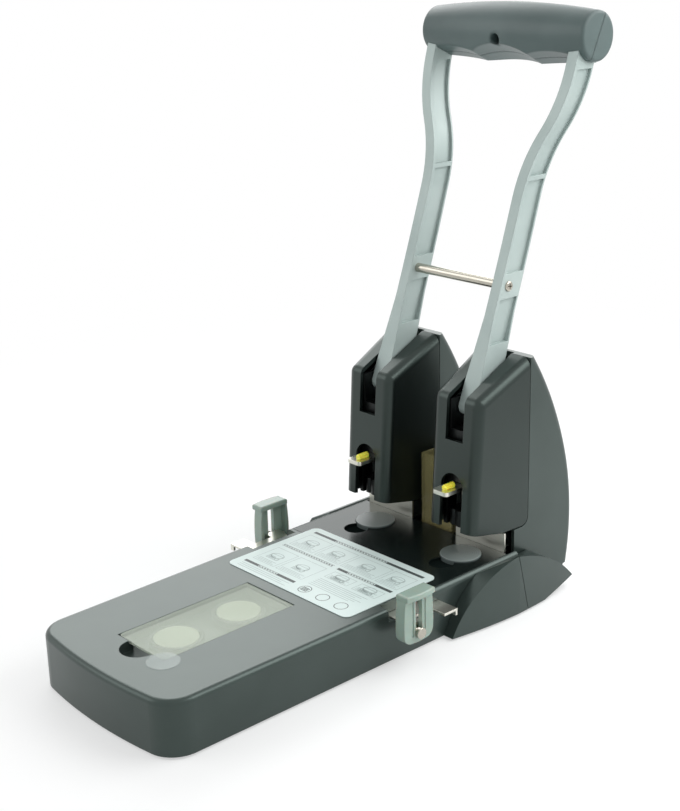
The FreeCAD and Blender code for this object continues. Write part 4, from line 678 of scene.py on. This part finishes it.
def recess_bars(mesh, seat, axis):
    """Two crossed bars, the shape of the driver's recess."""
    middle = seat + axis * (HEAD_HEIGHT - RECESS_DEPTH / 2 + RECESS_ABOVE / 2) * MM
    for wide, tall in ((RECESS_REACH, RECESS_HALF), (RECESS_HALF, RECESS_REACH)):
        for vert in bmesh.ops.create_cube(mesh, size=1.0)["verts"]:
            vert.co = middle + Vector((vert.co.x * (RECESS_DEPTH + RECESS_ABOVE),
                                       vert.co.y * 2 * wide, vert.co.z * 2 * tall)) * MM


def pan_screw(side, axis):
    """A screw with its recess cut out, in place of the plain CAD screw."""
    face = screws_high.x if axis.x > 0 else screws_low.x
    seat = Vector((face - axis.x * HEAD_HEIGHT * MM, (screws_low.y + screws_high.y) / 2,
                   (screws_low.z + screws_high.z) / 2))
    screw = new_piece(f"crossbar_screw_{side}",
                      lambda mesh: turned(mesh, PAN_PROFILE, seat, axis, SCREW_SIDES),
                      plated_steel, "lever", "bright_steel")
    cutter = new_piece(f"recess_{side}", lambda mesh: recess_bars(mesh, seat, axis),
                       plated_steel, "lever", "bright_steel")
    cut = screw.modifiers.new("recess", "BOOLEAN")
    cut.object = cutter
    cut.use_self = True
    evaluated = screw.evaluated_get(bpy.context.evaluated_depsgraph_get())
    carved = bpy.data.meshes.new_from_object(evaluated)
    screw.modifiers.clear()
    screw.data = carved
    bpy.data.objects.remove(cutter)
    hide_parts("crossbar_screws")
    return screw


for side, axis in (("left", Vector((-1, 0, 0))), ("right", Vector((1, 0, 0)))):
    screw = pan_screw(side, axis)
    print("screw:", screw.name, len(screw.data.polygons), "faces")

# %% [markdown]
# ## Studio
# The punch stands on a plain white table in a white room, as catalogue
# pictures are shot.  The light is held low, so a colour renders about as it
# is written.  More lamps would whiten the background too, but they would
# bleach the pale parts.  Instead what the camera, a mirrored ray or a ray
# through a clear part meets is plain white: Light Path tells those rays apart.

# %% Rays that meet the plain white
def meets_backdrop(material):
    """1 for rays of the camera, of a mirror or through glass, otherwise 0."""
    path = add_node(material, "ShaderNodeLightPath")
    mirrored = add_node(material, "ShaderNodeMath", {"operation": "MAXIMUM"},
                        {0: path.outputs["Is Camera Ray"], 1: path.outputs["Is Glossy Ray"]})
    any_of = add_node(material, "ShaderNodeMath", {"operation": "MAXIMUM"},
                      {0: mirrored.outputs["Value"], 1: path.outputs["Is Transmission Ray"]})
    return any_of.outputs["Value"]


print("backdrop rays:", meets_backdrop.__name__)

# %% [markdown]
# ## Table
# A white lacquered table carries the punch's shadow.  With distance it fades
# to paper white, so the table's far edge melts into the room.  A curved
# backdrop would hide the edge as well, but the fade also holds in views from
# above.

# %% Table
TABLE_HALF_M = 6
FADE_FROM_M, FADE_TO_M, WHITE_NEAR = 0.15, 0.75, 0.45
TABLE_CORNERS = [(-TABLE_HALF_M, -TABLE_HALF_M, 0), (TABLE_HALF_M, -TABLE_HALF_M, 0),
                 (TABLE_HALF_M, TABLE_HALF_M, 0), (-TABLE_HALF_M, TABLE_HALF_M, 0)]
floor_mesh = bpy.data.meshes.new("floor")
floor_mesh.from_pydata(TABLE_CORNERS, [], [(0, 1, 2, 3)])
floor = bpy.data.objects.new("floor", floor_mesh)
bpy.context.collection.objects.link(floor)
floor_paint, floor_shader = new_material("white_table_lacquer",
                                         {"Roughness": 0.7, "Specular IOR Level": 0.2})
floor_drift = add_node(floor_paint, "ShaderNodeTexNoise", {"Scale": 2.0, "Detail": 1.0},
                       {"Vector": place_on_part(floor_paint)})
feed(floor_paint, tones(floor_paint, floor_drift.outputs["Fac"], "#FAFCFC", "#FCFEFE"),
     floor_shader.inputs["Base Color"])
floor_reach = add_node(floor_paint, "ShaderNodeVectorMath", {"operation": "LENGTH"},
                       {0: place_on_part(floor_paint)})
fade = add_node(floor_paint, "ShaderNodeMapRange",
                {"interpolation_type": "SMOOTHSTEP", "From Min": FADE_FROM_M,
                 "From Max": FADE_TO_M, "To Min": WHITE_NEAR},
                {"Value": floor_reach.outputs["Value"]})
white_share = add_node(floor_paint, "ShaderNodeMath", {"operation": "MULTIPLY"},
                       {0: fade.outputs["Result"], 1: meets_backdrop(floor_paint)})
paper_white = add_node(floor_paint, "ShaderNodeEmission",
                       {"Color": linear("#FFFFFF"), "Strength": 1.0})
blend = add_node(floor_paint, "ShaderNodeMixShader",
                 links={0: white_share.outputs["Value"], 1: floor_shader.outputs["BSDF"],
                        2: paper_white.outputs["Emission"]})
feed(floor_paint, blend.outputs["Shader"],
     floor_paint.node_tree.nodes["Material Output"].inputs["Surface"])
floor.data.materials.append(floor_paint)
print("table:", 2 * TABLE_HALF_M, "m wide")

# %% [markdown]
# ## Room
# The room lights the punch evenly from all sides, at less than full white.
# An image of a real room could do it too, but an even room has no windows
# that would slide over the gloss when the view moves.

# %% Room
ROOM = 0.6
world = bpy.data.worlds.new("white_room")
bpy.context.scene.world = world
world.use_nodes = True
backdrop = world.node_tree.nodes["Background"]
backdrop.inputs["Color"].default_value = linear("#FFFFFF")
level = add_node(world, "ShaderNodeMapRange", {"To Min": ROOM, "To Max": 1.0},
                 {"Value": meets_backdrop(world)})
feed(world, level.outputs["Result"], backdrop.inputs["Strength"])
print("room:", ROOM)

# %% [markdown]
# ## Soft lamps
# A large soft lamp above and behind the left side lies in the tops' mirror
# direction, so dark tops turn grey at a shallow angle.  A second one at the
# front left models the fronts, a third, high at the left, the arms, and a
# small one over the table at the right the upright dark faces on that side.
# One sun would be simpler, but its hard edge would show in the gloss.

# %% Soft lamps
PUNCH = (0.0, -0.08, 0.10)
TABLE_RIGHT = (0.36, 0.3, 0.0)
SOFTBOXES = {  # name: place, aim, width and height in metres, watts
    "back_left": ((-1.6, 1.5, 0.95), PUNCH, (2.4, 1.6), 17),
    "front_left": ((-1.2, -1.5, 1.1), PUNCH, (1.2, 1.2), 7),
    "high_left": ((-1.5, 0.6, 1.5), PUNCH, (1.1, 1.1), 7),
    "table_right": ((0.42, 0.36, 0.5), TABLE_RIGHT, (0.65, 0.65), 5),
}
for name, (place, aim, size_m, watts) in SOFTBOXES.items():
    lamp_data = bpy.data.lights.new(name, "AREA")
    lamp_data.shape = "RECTANGLE"
    lamp_data.size, lamp_data.size_y = size_m
    lamp_data.energy = watts
    lamp = bpy.data.objects.new(name, lamp_data)
    bpy.context.collection.objects.link(lamp)
    lamp.location = place
    lamp.rotation_euler = (Vector(aim) - Vector(place)).to_track_quat("-Z", "Y").to_euler()
print("lamps:", len(SOFTBOXES))
